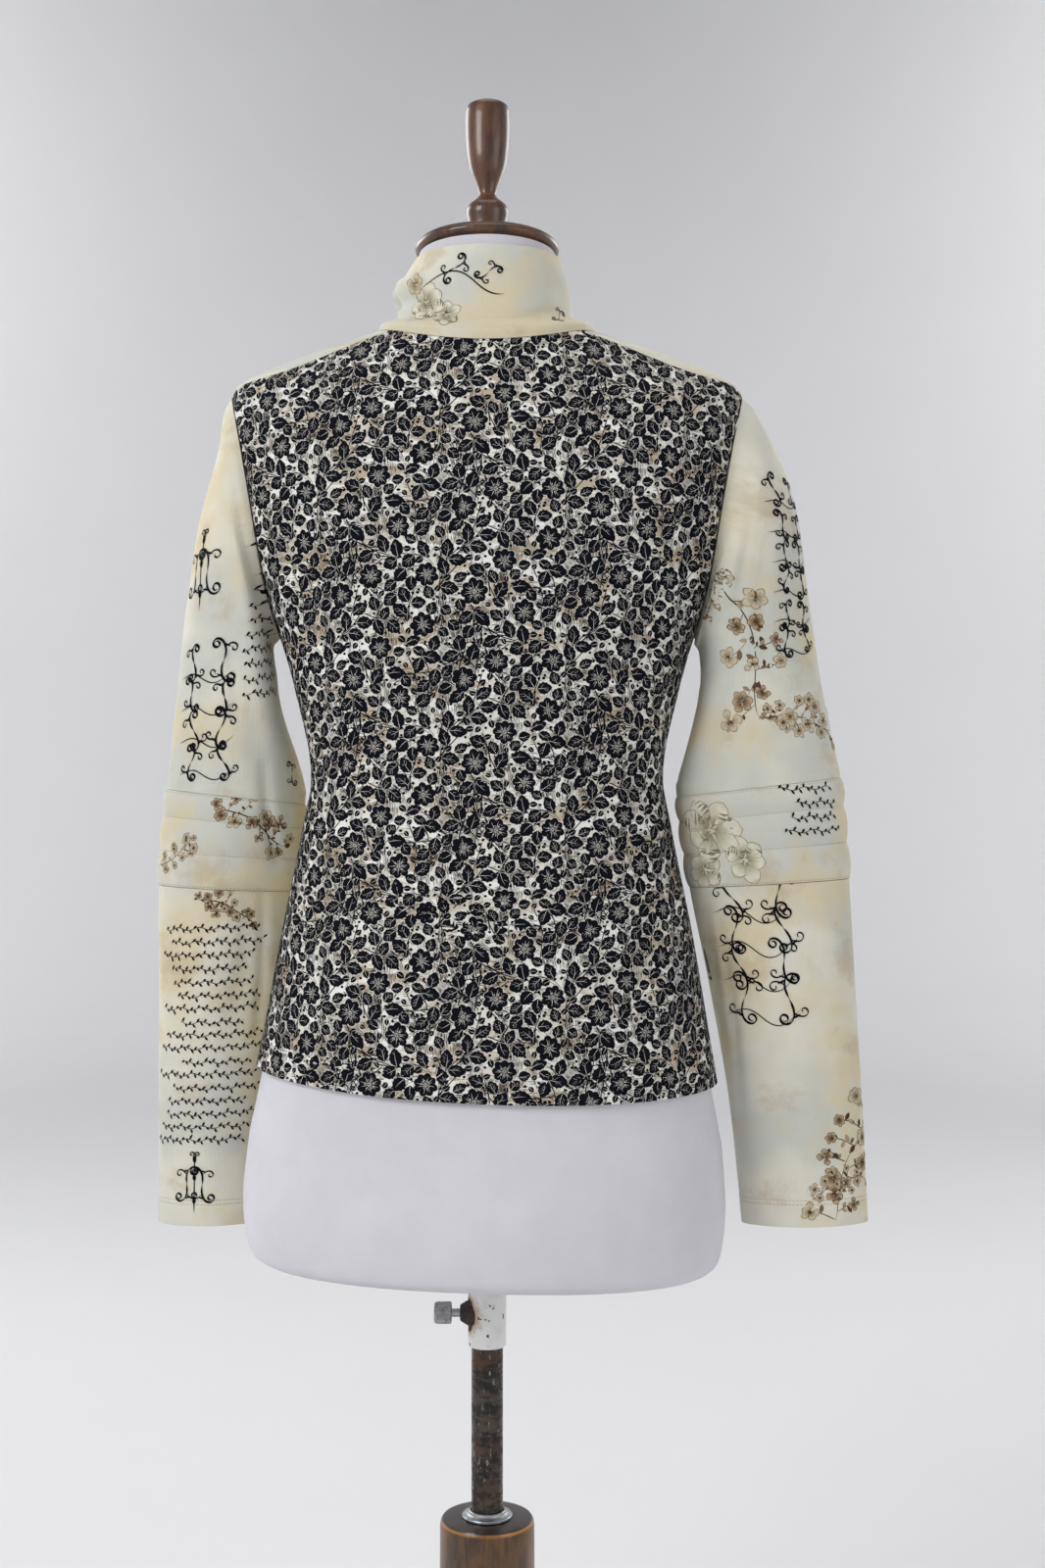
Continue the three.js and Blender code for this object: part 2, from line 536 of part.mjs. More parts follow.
const screwZ = 480;
const columnBore = 262;
const columnProfile = [
  [0, baseThickness + seam], [46, baseThickness + seam], [47, 34], [42, 40], [38, 46], [columnRadius, 60],
  [columnRadius, 318.5], [35.2, columnTop], [poleRadius + 0.6, columnTop], [poleRadius + 0.6, columnBore], [0, columnBore],
];
const baseProfile = [
  [0, 0], [baseRadius - 6, 0], [baseRadius, 5], [baseRadius, 14], [baseRadius - 5, 20], [baseRadius - 14, baseThickness],
  [0, baseThickness],
];
const poleProfile = [[0, columnBore + seam], [poleRadius, columnBore + seam], [poleRadius, 700], [0, 700]];
const flangeProfile = [
  [poleRadius + 0.6, columnTop + seam], [19, columnTop + seam], [19, 324.5], [15, 325.6], [14.6, 328], [poleRadius + 0.6, 328],
  [poleRadius + 0.6, columnTop + seam],
];

const sideways = new THREE.Matrix4().makeRotationY(-Math.PI / 2); // turns +Z to -X

// The white ferrule under the form, with the boss that its clamping screw goes into.
function socket() {
  const tube = manifoldOf(turned([[0, socketFoot], [socketRadius, socketFoot], [socketRadius, socketTop], [0, socketTop]], 28));
  const bossGeometry = turned([[0, 8], [11.5, 8], [9.5, 15], [6, 21], [0, 21]], 20);
  const boss = manifoldOf(bossGeometry.applyMatrix4(sideways).translate(0, 0, screwZ));
  const bore = manifoldOf(turned([[0, 440], [poleRadius + 0.7, 440], [poleRadius + 0.7, 570], [0, 570]], 28));
  return geometryFrom(tube.add(boss).subtract(bore));
}

const screwProfile = [[0, 21.3], [3.2, 21.3], [3.2, 27.5], [8.4, 27.5], [8.4, 40], [7.4, 41], [0, 41]];

// Zip slider and pull

const sliderRow = 4.9; // place on the collar's rings
const pinRadius = 0.75;
const pinRise = 6.4;
const pullReach = 27;

function boxAt(wide, deep, high, x, y, z) {
  return manifoldOf(new THREE.BoxGeometry(wide, deep, high).translate(x, y, z));
}

// The slider stands on the zip's face, with two cheeks that carry the pull's pin. Its own origin is the pin.
function slider() {
  const plate = boxAt(9, 3, 13, 0, 1.8 - pinRise, -1);
  const cheeks = [-1, 1].map((sign) => boxAt(1.1, 4.6, 3.6, sign * 3.25, 2.9 + 0.4 - pinRise + 1.9, 0));
  const pin = manifoldOf(turned([[0, -3], [pinRadius, -3], [pinRadius, 3], [0, 3]], 12).applyMatrix4(sideways));
  return geometryFrom(plate.add(cheeks[0]).add(cheeks[1]).add(pin));
}

// The pull tab's side outline, with the knuckle's hole round the pin, pushed out across its width.
function pullTab() {
  const knuckle = 1.9;
  const half = 0.7;
  const width = 4.8;
  const outline = new THREE.Shape();
  const meet = Math.asin(half / knuckle);
  outline.moveTo(-half, -pullReach);
  outline.lineTo(half, -pullReach);
  outline.lineTo(half, -knuckle * Math.cos(meet));
  outline.absarc(0, 0, knuckle, -Math.PI / 2 + meet, (3 * Math.PI) / 2 - meet, false);
  outline.closePath();
  const hole = new THREE.Path();
  hole.absarc(0, 0, pinRadius + 0.35, 0, 2 * Math.PI, true);
  outline.holes.push(hole);
  const geometry = new THREE.ExtrudeGeometry(outline, { depth: width, bevelEnabled: false, curveSegments: 8 });
  geometry.translate(0, 0, -width / 2);
  geometry.applyMatrix4(new THREE.Matrix4().makeBasis(
    new THREE.Vector3(0, 1, 0), new THREE.Vector3(0, 0, 1), new THREE.Vector3(1, 0, 0),
  ));
  return sealed(geometry);
}

// Assembly
const jacketOnForm = new THREE.Group();
const raise = (mesh, x, y, z) => {
  mesh.position.set(x, y, z);
  return mesh;
};

const stand = new THREE.Group();
stand.add(meshOf("base", turned(baseProfile, 40), columnWood));
stand.add(meshOf("column", turned(columnProfile, 28), columnWood));
stand.add(meshOf("pole", turned(poleProfile, 28), oldSteel));
stand.add(meshOf("pole_flange", turned(flangeProfile, 24), brightSteel));

const form = new THREE.Group();
form.add(meshOf("dress_form", torso(), formCover));
form.add(meshOf("socket", socket(), whitePaint));
const screwGeometry = turned(screwProfile, 20).applyMatrix4(sideways);
form.add(raise(meshOf("clamp_screw", screwGeometry, brightSteel), 0, 0, screwZ));

const neckTopGroup = new THREE.Group();
neckTopGroup.position.set(0, neckRings[neckRings.length - 1].lean, neckTop + seam);
neckTopGroup.rotation.x = -neckTilt;
neckTopGroup.add(meshOf("neck_cap", turned(capProfile, 32), darkWood));
neckTopGroup.add(raise(meshOf("finial", turned(finialProfile, 24), darkWood), 0, 0, capThickness + seam));
form.add(neckTopGroup);

const jacket = new THREE.Group();
jacket.add(meshOf("back", backPanel(), floralJersey));
jacket.add(meshOf("front_right", frontPanel(false), creamJersey));
jacket.add(meshOf("front_left", frontPanel(true), creamJersey));
jacket.add(meshOf("collar", collar(), creamJersey));
jacket.add(meshOf("zip", zip(), zipTape));
for (const side of ["right", "left"]) {
  jacket.add(meshOf(`sleeve_upper_${side}`, sleevePiece(side, upperSleeveRows), creamJersey));
  jacket.add(meshOf(`elbow_band_${side}`, sleevePiece(side, bandRows, bandRib), creamJersey));
  jacket.add(meshOf(`sleeve_lower_${side}`, sleevePiece(side, lowerSleeveRows), creamJersey));
}

const pinAt = moveIn((u, v) => collarPoint(v, u), Math.PI / 2, sliderRow, -pinRise);
const zipRun = collarPoint(sliderRow + 0.3, Math.PI / 2).sub(collarPoint(sliderRow - 0.3, Math.PI / 2)).normalize();
const sliderMesh = raise(meshOf("zip_slider", slider(), brightSteel), 0, pinAt.y, pinAt.z);
sliderMesh.rotation.x = -Math.asin(zipRun.y);
jacket.add(sliderMesh);
jacket.add(raise(meshOf("pull_tab", pullTab(), brightSteel), 0, pinAt.y, pinAt.z));
form.add(jacket);

jacketOnForm.add(stand, form);

export default jacketOnForm;
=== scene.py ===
"""A zip-front track jacket with a floral back and printed sleeves, worn by a dress form on a turned stand.

Metres, +Z up, +Y out of the jacket's front and +X the wearer's right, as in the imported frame. Tables that
describe cloth are in millimetres. The camera looks at the jacket's back.
"""

import math
import random

import bpy
import numpy as np
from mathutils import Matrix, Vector
from mathutils.bvhtree import BVHTree


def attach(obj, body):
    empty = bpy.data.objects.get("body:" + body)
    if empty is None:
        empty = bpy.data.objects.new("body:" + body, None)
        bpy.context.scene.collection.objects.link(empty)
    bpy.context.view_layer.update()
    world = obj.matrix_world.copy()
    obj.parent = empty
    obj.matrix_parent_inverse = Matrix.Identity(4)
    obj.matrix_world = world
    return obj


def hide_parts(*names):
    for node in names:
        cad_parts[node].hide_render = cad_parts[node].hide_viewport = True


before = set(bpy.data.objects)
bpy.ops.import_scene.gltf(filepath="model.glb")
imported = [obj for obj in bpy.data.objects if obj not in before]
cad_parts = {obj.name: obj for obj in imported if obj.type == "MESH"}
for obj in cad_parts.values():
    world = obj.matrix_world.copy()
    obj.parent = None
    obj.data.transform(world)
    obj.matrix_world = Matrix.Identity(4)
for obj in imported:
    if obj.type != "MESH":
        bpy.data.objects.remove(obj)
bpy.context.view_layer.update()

# Camera
# It stands a metre and a half behind the jacket at the height of its waist, and looks straight ahead.
CAMERA_PLACE = (0.02736, -1.5, 0.890)
CAMERA_LENS = 44.4

camera_data = bpy.data.cameras.new("camera")
camera_data.lens = CAMERA_LENS
camera = bpy.data.objects.new("camera", camera_data)
camera.location = CAMERA_PLACE
camera.rotation_euler = (math.radians(90), 0, 0)
bpy.context.scene.collection.objects.link(camera)
bpy.context.scene.camera = camera


# Studio
# A seamless pale paper floor that curves up far away all round, under large soft lamps. None of it is part
# of the object. The helpers for shaders start here, as the floor needs them first.
class Shade:
    """An output in a material's nodes that adds, multiplies and compares as a number does."""

    def __init__(self, tree, socket):
        self.tree = tree
        self.socket = socket

    def node(self, kind, settings=None, inputs=None, out=0):
        """Adds a node of any kind: its settings first, then the values or links of its sockets."""
        made = self.tree.nodes.new("ShaderNode" + kind)
        for key, value in (settings or {}).items():
            setattr(made, key, value)
        for key, value in (inputs or {}).items():
            if isinstance(value, Shade):
                self.tree.links.new(value.socket, made.inputs[key])
            else:
                made.inputs[key].default_value = value
        return Shade(self.tree, made.outputs[out])

    def math(self, operation, other):
        return self.node("Math", {"operation": operation}, {0: self, 1: other})

    def __add__(self, other):
        return self.math("ADD", other)

    def __sub__(self, other):
        return self.math("SUBTRACT", other)

    def __rsub__(self, other):
        return self.node("Math", {"operation": "SUBTRACT"}, {0: other, 1: self})

    def __mul__(self, other):
        return self.math("MULTIPLY", other)

    __radd__ = __add__
    __rmul__ = __mul__

    def above(self, low, high):
        """0 below low, 1 above high and smooth between."""
        settings = {"interpolation_type": "SMOOTHSTEP"}
        return self.node("MapRange", settings, {"Value": self, "From Min": low, "From Max": high})

    def mix(self, first, second):
        """The first colour where this is 0 and the second where it is 1."""
        inputs = {0: self, 6: colour(first), 7: colour(second)}
        return self.node("Mix", {"data_type": "RGBA"}, inputs, out=2)

    def noise(self, scale, detail=3.0, roughness=0.5, stretch=(1, 1, 1), shift=(0, 0, 0)):
        """Soft noise over this place, with its lumps about 1 / scale metres wide."""
        place = self.node("Mapping", None, {"Vector": self, "Scale": stretch, "Location": shift})
        inputs = {"Vector": place, "Scale": scale, "Detail": detail, "Roughness": roughness}
        return self.node("TexNoise", None, inputs)

    def bump(self, height, distance, strength=1.0):
        return self.node("Bump", None, {"Height": height, "Distance": distance, "Strength": strength})


def colour(value):
    return (*value, 1) if isinstance(value, tuple) else value


def socket_name(word):
    return {"specular": "Specular IOR Level"}.get(word, word.replace("_", " ").title())


def new_material(name, **fixed):
    """A material with its fixed numbers set, and the place on the object that its nodes read."""
    material = bpy.data.materials.new(name)
    material.use_nodes = True
    tree = material.node_tree
    surface = tree.nodes["Principled BSDF"]
    for key, value in fixed.items():
        surface.inputs[socket_name(key)].default_value = value
    coordinates = tree.nodes.new("ShaderNodeTexCoord")
    return material, Shade(tree, coordinates.outputs["Object"])


def paint(material, **varying):
    """Links what varies over the surface to the material's shader."""
    tree = material.node_tree
    surface = tree.nodes["Principled BSDF"]
    for key, value in varying.items():
        tree.links.new(value.socket, surface.inputs[socket_name(key)])


def activate(piece):
    """Selects a piece alone, for the operators that act on what is selected."""
    bpy.ops.object.select_all(action="DESELECT")
    piece.select_set(True)
    bpy.context.view_layer.objects.active = piece


def smooth(piece, angle):
    """Shades faces smooth where they meet at less than an angle in degrees."""
    activate(piece)
    bpy.ops.object.shade_smooth_by_angle(angle=math.radians(angle))


FLOOR_RADIUS = 6.0
FLOOR_CURVE = 1.5
FLOOR_WALL = 7.0
PAPER = (0.80, 0.80, 0.81)

bpy.ops.object.select_all(action="DESELECT")
bpy.ops.mesh.primitive_circle_add(vertices=96, radius=FLOOR_RADIUS, fill_type="NGON")
floor = bpy.context.object
floor.name = "floor"
bpy.ops.object.mode_set(mode="EDIT")
for step in range(8):
    angle, last_angle = (math.radians(90 * (step + extra) / 8) for extra in (1, 0))
    reach, last_reach = (FLOOR_RADIUS + FLOOR_CURVE * math.sin(a) for a in (angle, last_angle))
    rise = FLOOR_CURVE * (math.cos(last_angle) - math.cos(angle))
    bpy.ops.mesh.extrude_region_move(TRANSFORM_OT_translate={"value": (0, 0, rise)})
    bpy.ops.transform.resize(value=(reach / last_reach, reach / last_reach, 1))
bpy.ops.mesh.extrude_region_move(TRANSFORM_OT_translate={"value": (0, 0, FLOOR_WALL)})
bpy.ops.mesh.delete(type="FACE")
bpy.ops.mesh.select_all(action="SELECT")
bpy.ops.mesh.normals_make_consistent(inside=True)
bpy.ops.object.mode_set(mode="OBJECT")
smooth(floor, 60)
paper, place = new_material("pale_paper", roughness=0.9)
paint(paper, base_color=place.noise(3.0).mix(PAPER, tuple(0.97 * c for c in PAPER)))
floor.data.materials.append(paper)

# Each lamp has its place, what it aims at, its size across and its power in watts. The last four light the
# paper.
LAMPS = [
    ((-2.1, -2.0, 2.3), (0, 0, 0.95), 1.3, 42),
    ((2.4, -1.9, 1.5), (0, 0, 0.9), 1.6, 10),
    ((-2.1, 1.9, 2.1), (0, 0, 0.9), 1.5, 28),
    ((2.1, 2.2, 2.0), (0, 0, 0.9), 1.5, 22),
    ((0, 0, 3.4), (0, 0, 0.9), 1.8, 14),
    ((3.4, 3.4, 4.2), (7, 7, 1.2), 2.4, 125),
    ((-3.4, 3.4, 4.2), (-7, 7, 1.2), 2.4, 125),
    ((3.4, -3.4, 4.2), (7, -7, 1.2), 2.4, 60),
    ((-3.4, -3.4, 4.2), (-7, -7, 1.2), 2.4, 60),
]
for place, aim, size, power in LAMPS:
    lamp_data = bpy.data.lights.new("lamp", "AREA")
    lamp_data.size = size
    lamp_data.energy = power
    lamp = bpy.data.objects.new("lamp", lamp_data)
    lamp.location = place
    lamp.rotation_euler = (Vector(aim) - Vector(place)).to_track_quat("-Z", "Y").to_euler()
    bpy.context.scene.collection.objects.link(lamp)
world = bpy.data.worlds.new("studio")
world.use_nodes = True
world.node_tree.nodes["Background"].inputs["Color"].default_value = (0.86, 0.87, 0.90, 1)
world.node_tree.nodes["Background"].inputs["Strength"].default_value = 0.30
bpy.context.scene.world = world
bpy.context.scene.view_settings.view_transform = "Standard"


# Base and column
# The stand's round foot is turned from a board and its thick column from a post, both stained amber brown
# and varnished. The foot is screwed to the column's end, and a hole down the column's top takes the pole.
def millimetres(profile):
    return [(radius * 0.001, height * 0.001) for radius, height in profile]


def place_in_mesh(piece):
    """Leaves a piece's object at the origin, with its place in its mesh."""
    activate(piece)
    bpy.ops.object.transform_apply(location=True, rotation=True, scale=True)


def turned(name, profile, sides=72, fill="NGON"):
    """A turned piece about the pole's axis: a disc drawn up through each radius and height, in metres."""
    bpy.ops.object.select_all(action="DESELECT")
    radius, height = profile[0]
    bpy.ops.mesh.primitive_circle_add(
        vertices=sides, radius=radius, fill_type=fill, location=(0, 0, height)
    )
    piece = bpy.context.object
    piece.name = name
    bpy.ops.object.mode_set(mode="EDIT")
    for (last_radius, last_height), (radius, height) in zip(profile, profile[1:]):
        bpy.ops.mesh.extrude_region_move(TRANSFORM_OT_translate={"value": (0, 0, height - last_height)})
        share = radius / last_radius
        bpy.ops.transform.resize(value=(share, share, 1))
    bpy.ops.mesh.select_all(action="SELECT")
    bpy.ops.mesh.remove_doubles(threshold=1e-7)
    bpy.ops.mesh.normals_make_consistent(inside=False)
    bpy.ops.object.mode_set(mode="OBJECT")
    place_in_mesh(piece)
    return piece


def finish(piece, material, body, node=None, angle=30):
    """Gives a piece its material, smooth faces, the body it rides on and the CAD node it replaces."""
    piece.data.materials.append(material)
    smooth(piece, angle)
    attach(piece, body)
    if node:
        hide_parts(node)


def turned_wood(name, dark, light, coat, grain=26.0, board=False, rim=None):
    """Varnished wood with its grain up the pole's axis, or across it in a board, and with pores in it.

    Above rim, a height in metres, is a darker end face, and the edge just below it carries a painted
    highlight in patches. The coat is the varnish, and grain says how close the streaks of the wood lie.
    """

    def along(share):
        return (share, 1, 1) if board else (1, 1, share)

    material, place = new_material(name, coat_weight=coat, coat_roughness=0.08)
    streaks = place.noise(grain, 4, 0.6, stretch=along(0.12))
    pores = place.noise(420, 2, 0.6, stretch=along(0.05))
    wear = place.noise(9, 5, 0.6)
    flecks = place.noise(95, 4, 0.7, stretch=along(0.3), shift=(2, 1, 4))
    tone = streaks.above(0.32, 0.68) * 0.40 + pores.above(0.45, 0.7) * 0.2
    tone = tone + flecks.above(0.38, 0.62) * 0.40
    ground = tone.mix(dark, light)
    worn = wear.above(0.62, 0.8) * 0.35
    shade = worn.mix(ground, tuple(min(1.0, 1.9 * c) for c in light))
    if rim:
        level = place.node("SeparateXYZ", None, {"Vector": place}, out=2)
        # Painted highlight: a pale band round the piece just below its top edge, in patches where the wear
        # noise is high.
        rim_highlight = level.above(rim - 0.0030, rim - 0.0012) * wear.above(0.38, 0.55)
        shade = rim_highlight.mix(shade, tuple(2.2 * c for c in light))
        shade = level.above(rim - 0.0004, rim).mix(shade, tuple(0.75 * c for c in dark))
    relief = place.bump(pores * 0.5 + streaks * 0.5, 0.0004, 0.6)
    paint(material, base_color=shade, roughness=0.3 + wear * 0.25, normal=relief)
    return material


BASE = [
    (182, 0), (187.5, 1.2), (190, 5), (190, 13), (188.6, 16.5), (185, 20), (180, 22.4), (174, 23.6),
    (160, 24), (60, 24),
]
COLUMN = [
    (46, 24.3), (47.6, 27), (48, 30), (47, 34), (43.5, 37.5), (41.4, 41), (38.4, 45.5), (37.2, 52),
    (36.7, 60), (36.9, 180), (36.7, 300), (36.6, 316), (36, 319.5), (34.6, 321.6), (32, 322), (13, 322),
    (12.8, 312), (12.8, 262),
]
COLUMN_RIM = 0.3208
WOOD_DARK, WOOD_LIGHT = (0.022, 0.009, 0.003), (0.185, 0.078, 0.012)
column_wood = turned_wood("column_wood", WOOD_DARK, WOOD_LIGHT, 0.35, rim=COLUMN_RIM)
base_wood = turned_wood("base_wood", WOOD_DARK, WOOD_LIGHT, 0.35, board=True)
base = turned("stand_base", millimetres(BASE), 128)
column = turned("stand_column", millimetres(COLUMN), 96)
finish(base, base_wood, "stand", "base")
finish(column, column_wood, "stand", "column")

# Pole and its ring
# A steel tube that has lost its plating in bands where the clamp has scraped it, standing in the column
# through a pressed steel ring.
POLE = [(11.6, 262.3), (12.2, 263), (12.2, 699), (11.4, 700)]
RING = [
    (19.0, 322.3), (19.4, 322.8), (19.4, 323.8), (18.8, 324.6), (16, 325.3), (15, 326), (14.6, 327.6),
    (14.2, 328), (12.9, 328), (12.8, 322.4),
]
steel, place = new_material("old_steel", metallic=1.0)
bands = place.noise(95, 5, 0.7, stretch=(0.30, 0.30, 1.3))
spots = place.noise(190, 4, 0.7)
rust = (bands * 0.6 + spots * 0.4).above(0.46, 0.56)
scrape = place.noise(260, 4, 0.75, stretch=(1, 1, 0.35), shift=(3, 1, 2)).above(0.60, 0.68)
tarnish = place.noise(30, 4, 0.6, stretch=(0.4, 0.4, 1), shift=(1, 5, 2)).above(0.40, 0.62)
shade = rust.mix(tarnish.mix((0.088, 0.078, 0.066), (0.092, 0.060, 0.046)), (0.007, 0.006, 0.006))
shade = (scrape * 0.7).mix(shade, (0.42, 0.37, 0.31))
paint(
    steel,
    base_color=shade,
    metallic=1 - rust * 0.75,
    roughness=0.16 + rust * 0.3 + spots * 0.15,
    normal=place.bump(spots * 0.5 + rust, 0.0003, 0.5),
)
pole = turned("stand_pole", millimetres(POLE), 64)
finish(pole, steel, "stand", "pole")

bright, place = new_material("bright_steel", metallic=1.0)
scuff = place.noise(200, 4, 0.7)
shade = scuff.above(0.45, 0.7).mix((0.42, 0.43, 0.44), (0.24, 0.23, 0.22))
paint(bright, base_color=shade, roughness=0.22 + scuff * 0.35)
ring = turned("pole_ring", millimetres(RING), 64)
finish(ring, bright, "stand", "pole_flange")


# Cloth surfaces
# The dress form and every sewn piece lie on smooth surfaces through rings. Side, front and back are a
# ring's reaches from the pole's axis, each with its height, and round is the exponent of its section. These
# are the jacket's own sizes, in millimetres, as its solids have them.
def table(names, rows):
    return {name: np.array(values, float) for name, values in zip(names.split(), zip(*rows))}


def curve(a, b, c, d, t):
    """A smooth curve from b to c as t goes from 0 to 1. It comes from a and runs on to d."""
    return b + 0.5 * t * (c - a + t * (2 * a - 5 * b + 4 * c - d + t * (3 * (b - c) + d - a)))


def read(rings, name, at):
    """A smooth curve through one column of a table."""
    if name not in rings:
        return np.zeros_like(at)
    values = rings[name]
    last = len(values) - 1
    row = np.clip(np.floor(at).astype(int), 0, last - 1)
    b = values[row]
    c = values[row + 1]
    a = np.where(row > 0, values[np.maximum(row - 1, 0)], 2 * b - c)
    d = np.where(row + 1 < last, values[np.minimum(row + 2, last)], 2 * c - b)
    return curve(a, b, c, d, at - row)


def power(value, exponent):
    return np.sign(value) * np.abs(value) ** exponent


def ring_point(rings, at, turn):
    """Turn is 0 at the right side and a quarter turn at the front."""
    across = np.cos(turn)
    along = np.sin(turn)
    ahead = along >= 0
    bend = 2 / read(rings, "round", at)
    x = read(rings, "side", at) * power(across, bend)
    y = np.where(ahead, read(rings, "front", at), read(rings, "back", at)) * power(along, bend)
    level = np.where(ahead, read(rings, "front_z", at), read(rings, "back_z", at))
    z = read(rings, "side_z", at) * across**2 + level * along**2 - x * read(rings, "slope", at)
    z = z - y * np.tan(read(rings, "tilt", at))
    return np.stack([x + read(rings, "shift", at) * across**2, y + read(rings, "lean", at), z], -1)


def normals(surface, u, v):
    step = 1e-3
    along_u = surface(u + step, v) - surface(u - step, v)
    along_v = surface(u, v + step) - surface(u, v - step)
    outwards = np.cross(along_u, along_v)
    return outwards / np.maximum(np.linalg.norm(outwards, axis=-1, keepdims=True), 1e-12)


def fold_depth(folds, point, middle_y):
    """How deep soft folds press a place in. Each is a line from x1, z1 to x2, z2, bowed at its middle."""
    ahead = point[..., 1] > middle_y
    x, z = point[..., 0], point[..., 2]
    depth = np.zeros_like(x)
    for side, x1, z1, x2, z2, bow, width, deep in folds:
        run_x, run_z = x2 - x1, z2 - z1
        length = math.hypot(run_x, run_z)
        along = ((x - x1) * run_x + (z - z1) * run_z) / length**2
        t = np.clip(along, 0, 1)
        aside = ((x - x1) * run_z - (z - z1) * run_x) / length - bow * np.sin(math.pi * t)
        past = (along - t) * length
        taper = np.sin(math.pi * (0.12 + 0.76 * t))
        here = np.exp(-(aside**2 + past**2) / width**2) * taper * deep
        depth += np.where(ahead == (side == "front"), here, 0)
    return depth


BODY = table(
    "side side_z front front_z back back_z round slope ease arm_ease",
    [
        (177, 668, 114, 663, 112, 660, 2.3, 0.04, 5, 0),
        (171, 702, 114, 700, 113, 700, 2.3, 0.02, 5, 0),
        (158, 776, 108, 776, 105, 776, 2.3, 0, 6, 0),
        (143, 852, 101, 852, 89, 852, 2.3, 0, 8, 0),
        (136, 902, 98, 902, 80, 902, 2.3, 0, 9, 0),
        (148, 962, 110, 960, 87, 962, 2.3, 0, 6, 0),
        (160, 1004, 122, 1008, 93, 1008, 2.3, 0, 5, 0),
        (177, 1050, 124, 1046, 97, 1050, 2.3, 0, 5, 10),
        (190, 1100, 116, 1086, 99, 1092, 2.3, 0, 5, 14),
        (198, 1150, 104, 1122, 96, 1134, 2.2, 0, 5, 8),
        (198, 1187, 91, 1154, 89, 1168, 2, 0, 2.85, 0),
        (184, 1203, 84, 1168, 84, 1185, 1.8, 0, 2.85, 0),
        (140, 1221, 76, 1182, 79, 1200, 1.7, 0, 2.85, 0),
        (84, 1238, 66, 1204, 71, 1219, 2.1, 0, 3.8, 0),
    ],
)
UNDERARM, SHOULDER, NECK = 6, 10, 13
BUST_X, BUST_WIDE = 72, 46
BUST_Z, BUST_HIGH = 1046, 50
BUST_DEPTH = 15


def body_surface(turn, at):
    """The jacket body's outer face, with the bust's ease in the front."""
    point = ring_point(BODY, at, turn)
    across = (np.abs(point[..., 0]) - BUST_X) / BUST_WIDE
    up = (point[..., 2] - BUST_Z) / BUST_HIGH
    point[..., 1] += np.where(point[..., 1] > 0, BUST_DEPTH * np.exp(-(across**2) - up**2), 0)
    return point


def mesh_piece(name, points, faces):
    """A mesh object from points in millimetres."""
    data = bpy.data.meshes.new(name)
    data.from_pydata((np.asarray(points) * 0.001).tolist(), [], faces)
    data.update()
    piece = bpy.data.objects.new(name, data)
    bpy.context.scene.collection.objects.link(piece)
    return piece


def grid_faces(rows, columns, closed=False):
    """Quads of a grid whose points run row by row. A closed one's columns meet round a tube."""
    across = columns if closed else columns - 1
    return [
        tuple((j + up) * columns + (i + over) % columns for up, over in ((0, 0), (0, 1), (1, 1), (1, 0)))
        for j in range(rows - 1)
        for i in range(across)
    ]


# Dress form
# A moulded body with no limbs under a stretched white jersey cover, nearly flat underneath, with a hole for
# the pole. The cover shows below the hem and at the neck.
HIP = table(
    "side side_z front front_z back back_z round slope shift",
    [
        (150, 519, 84, 519, 85, 519, 2.3, 0.03, -2),
        (160, 519.2, 92, 519.2, 93, 519.2, 2.3, 0.03, -2),
        (174, 523, 104, 523, 106, 523, 2.3, 0.03, -2),
        (182, 534, 111, 533, 113, 533, 2.3, 0.03, -2),
        (186, 570, 114, 570, 116, 570, 2.3, 0.03, -2),
        (182, 618, 112, 614, 114, 612, 2.3, 0.03, -1),
    ],
)
NECK_RINGS = table(
    "side side_z front front_z back back_z round lean tilt",
    [
        (63, 1246, 53, 1222, 56, 1233, 2.05, 2, 0),
        (54, 1266, 51, 1252, 52, 1260, 2.05, 4, 0),
        (53, 1300, 53, 1300, 52, 1300, 2.05, 6, 0.07),
    ],
)
HOLE_RADIUS = 15.2
HOLE_HEIGHTS = (620.0, 560.0, 519.0)
FORM_COLUMNS = 96
form_turns = np.linspace(-math.pi, math.pi, FORM_COLUMNS + 1)[:-1]


def form_rows(rings, places):
    turn, at = np.meshgrid(form_turns, np.array(places, float))
    return ring_point(rings, at, turn)


turn, at = np.meshgrid(form_turns, np.linspace(0, NECK, 66))
ease = read(BODY, "ease", at) + read(BODY, "arm_ease", at) * np.cos(turn) ** 2
under_jacket = body_surface(turn, at) - normals(body_surface, turn, at) * ease[..., None]
hole = HOLE_RADIUS * np.stack([np.cos(form_turns), np.sin(form_turns)], -1)
hole_rows = np.stack([np.column_stack([hole, np.full(len(hole), z)]) for z in HOLE_HEIGHTS])
hip_rows = form_rows(HIP, np.linspace(0, 5, 21))
neck_rows = form_rows(NECK_RINGS, np.linspace(0, 2, 9))
form_points = np.concatenate([hole_rows, hip_rows, under_jacket, neck_rows])
rows, columns = form_points.shape[:2]
faces = grid_faces(rows, columns, closed=True)
faces.append(tuple(reversed(range(columns))))
faces.append(tuple(range((rows - 1) * columns, rows * columns)))
dress_form = mesh_piece("form_cover", form_points.reshape(-1, 3), faces)

cover, place = new_material("form_cover", specular=0.2, sheen_weight=0.06, sheen_roughness=0.4)
knit = place.node("TexWave", {"bands_direction": "Z"}, {"Vector": place, "Scale": 480.0, "Distortion": 1.5})
cloud = place.noise(14, 4, 0.6)
shade = cloud.above(0.3, 0.7).mix((0.735, 0.720, 0.765), (0.675, 0.660, 0.705))
weave = knit * 0.6 + place.noise(900) * 0.4
paint(cover, base_color=shade, roughness=0.82 + cloud * 0.1, normal=place.bump(weave, 0.00025, 0.5))
finish(dress_form, cover, "form", "dress_form", 40)

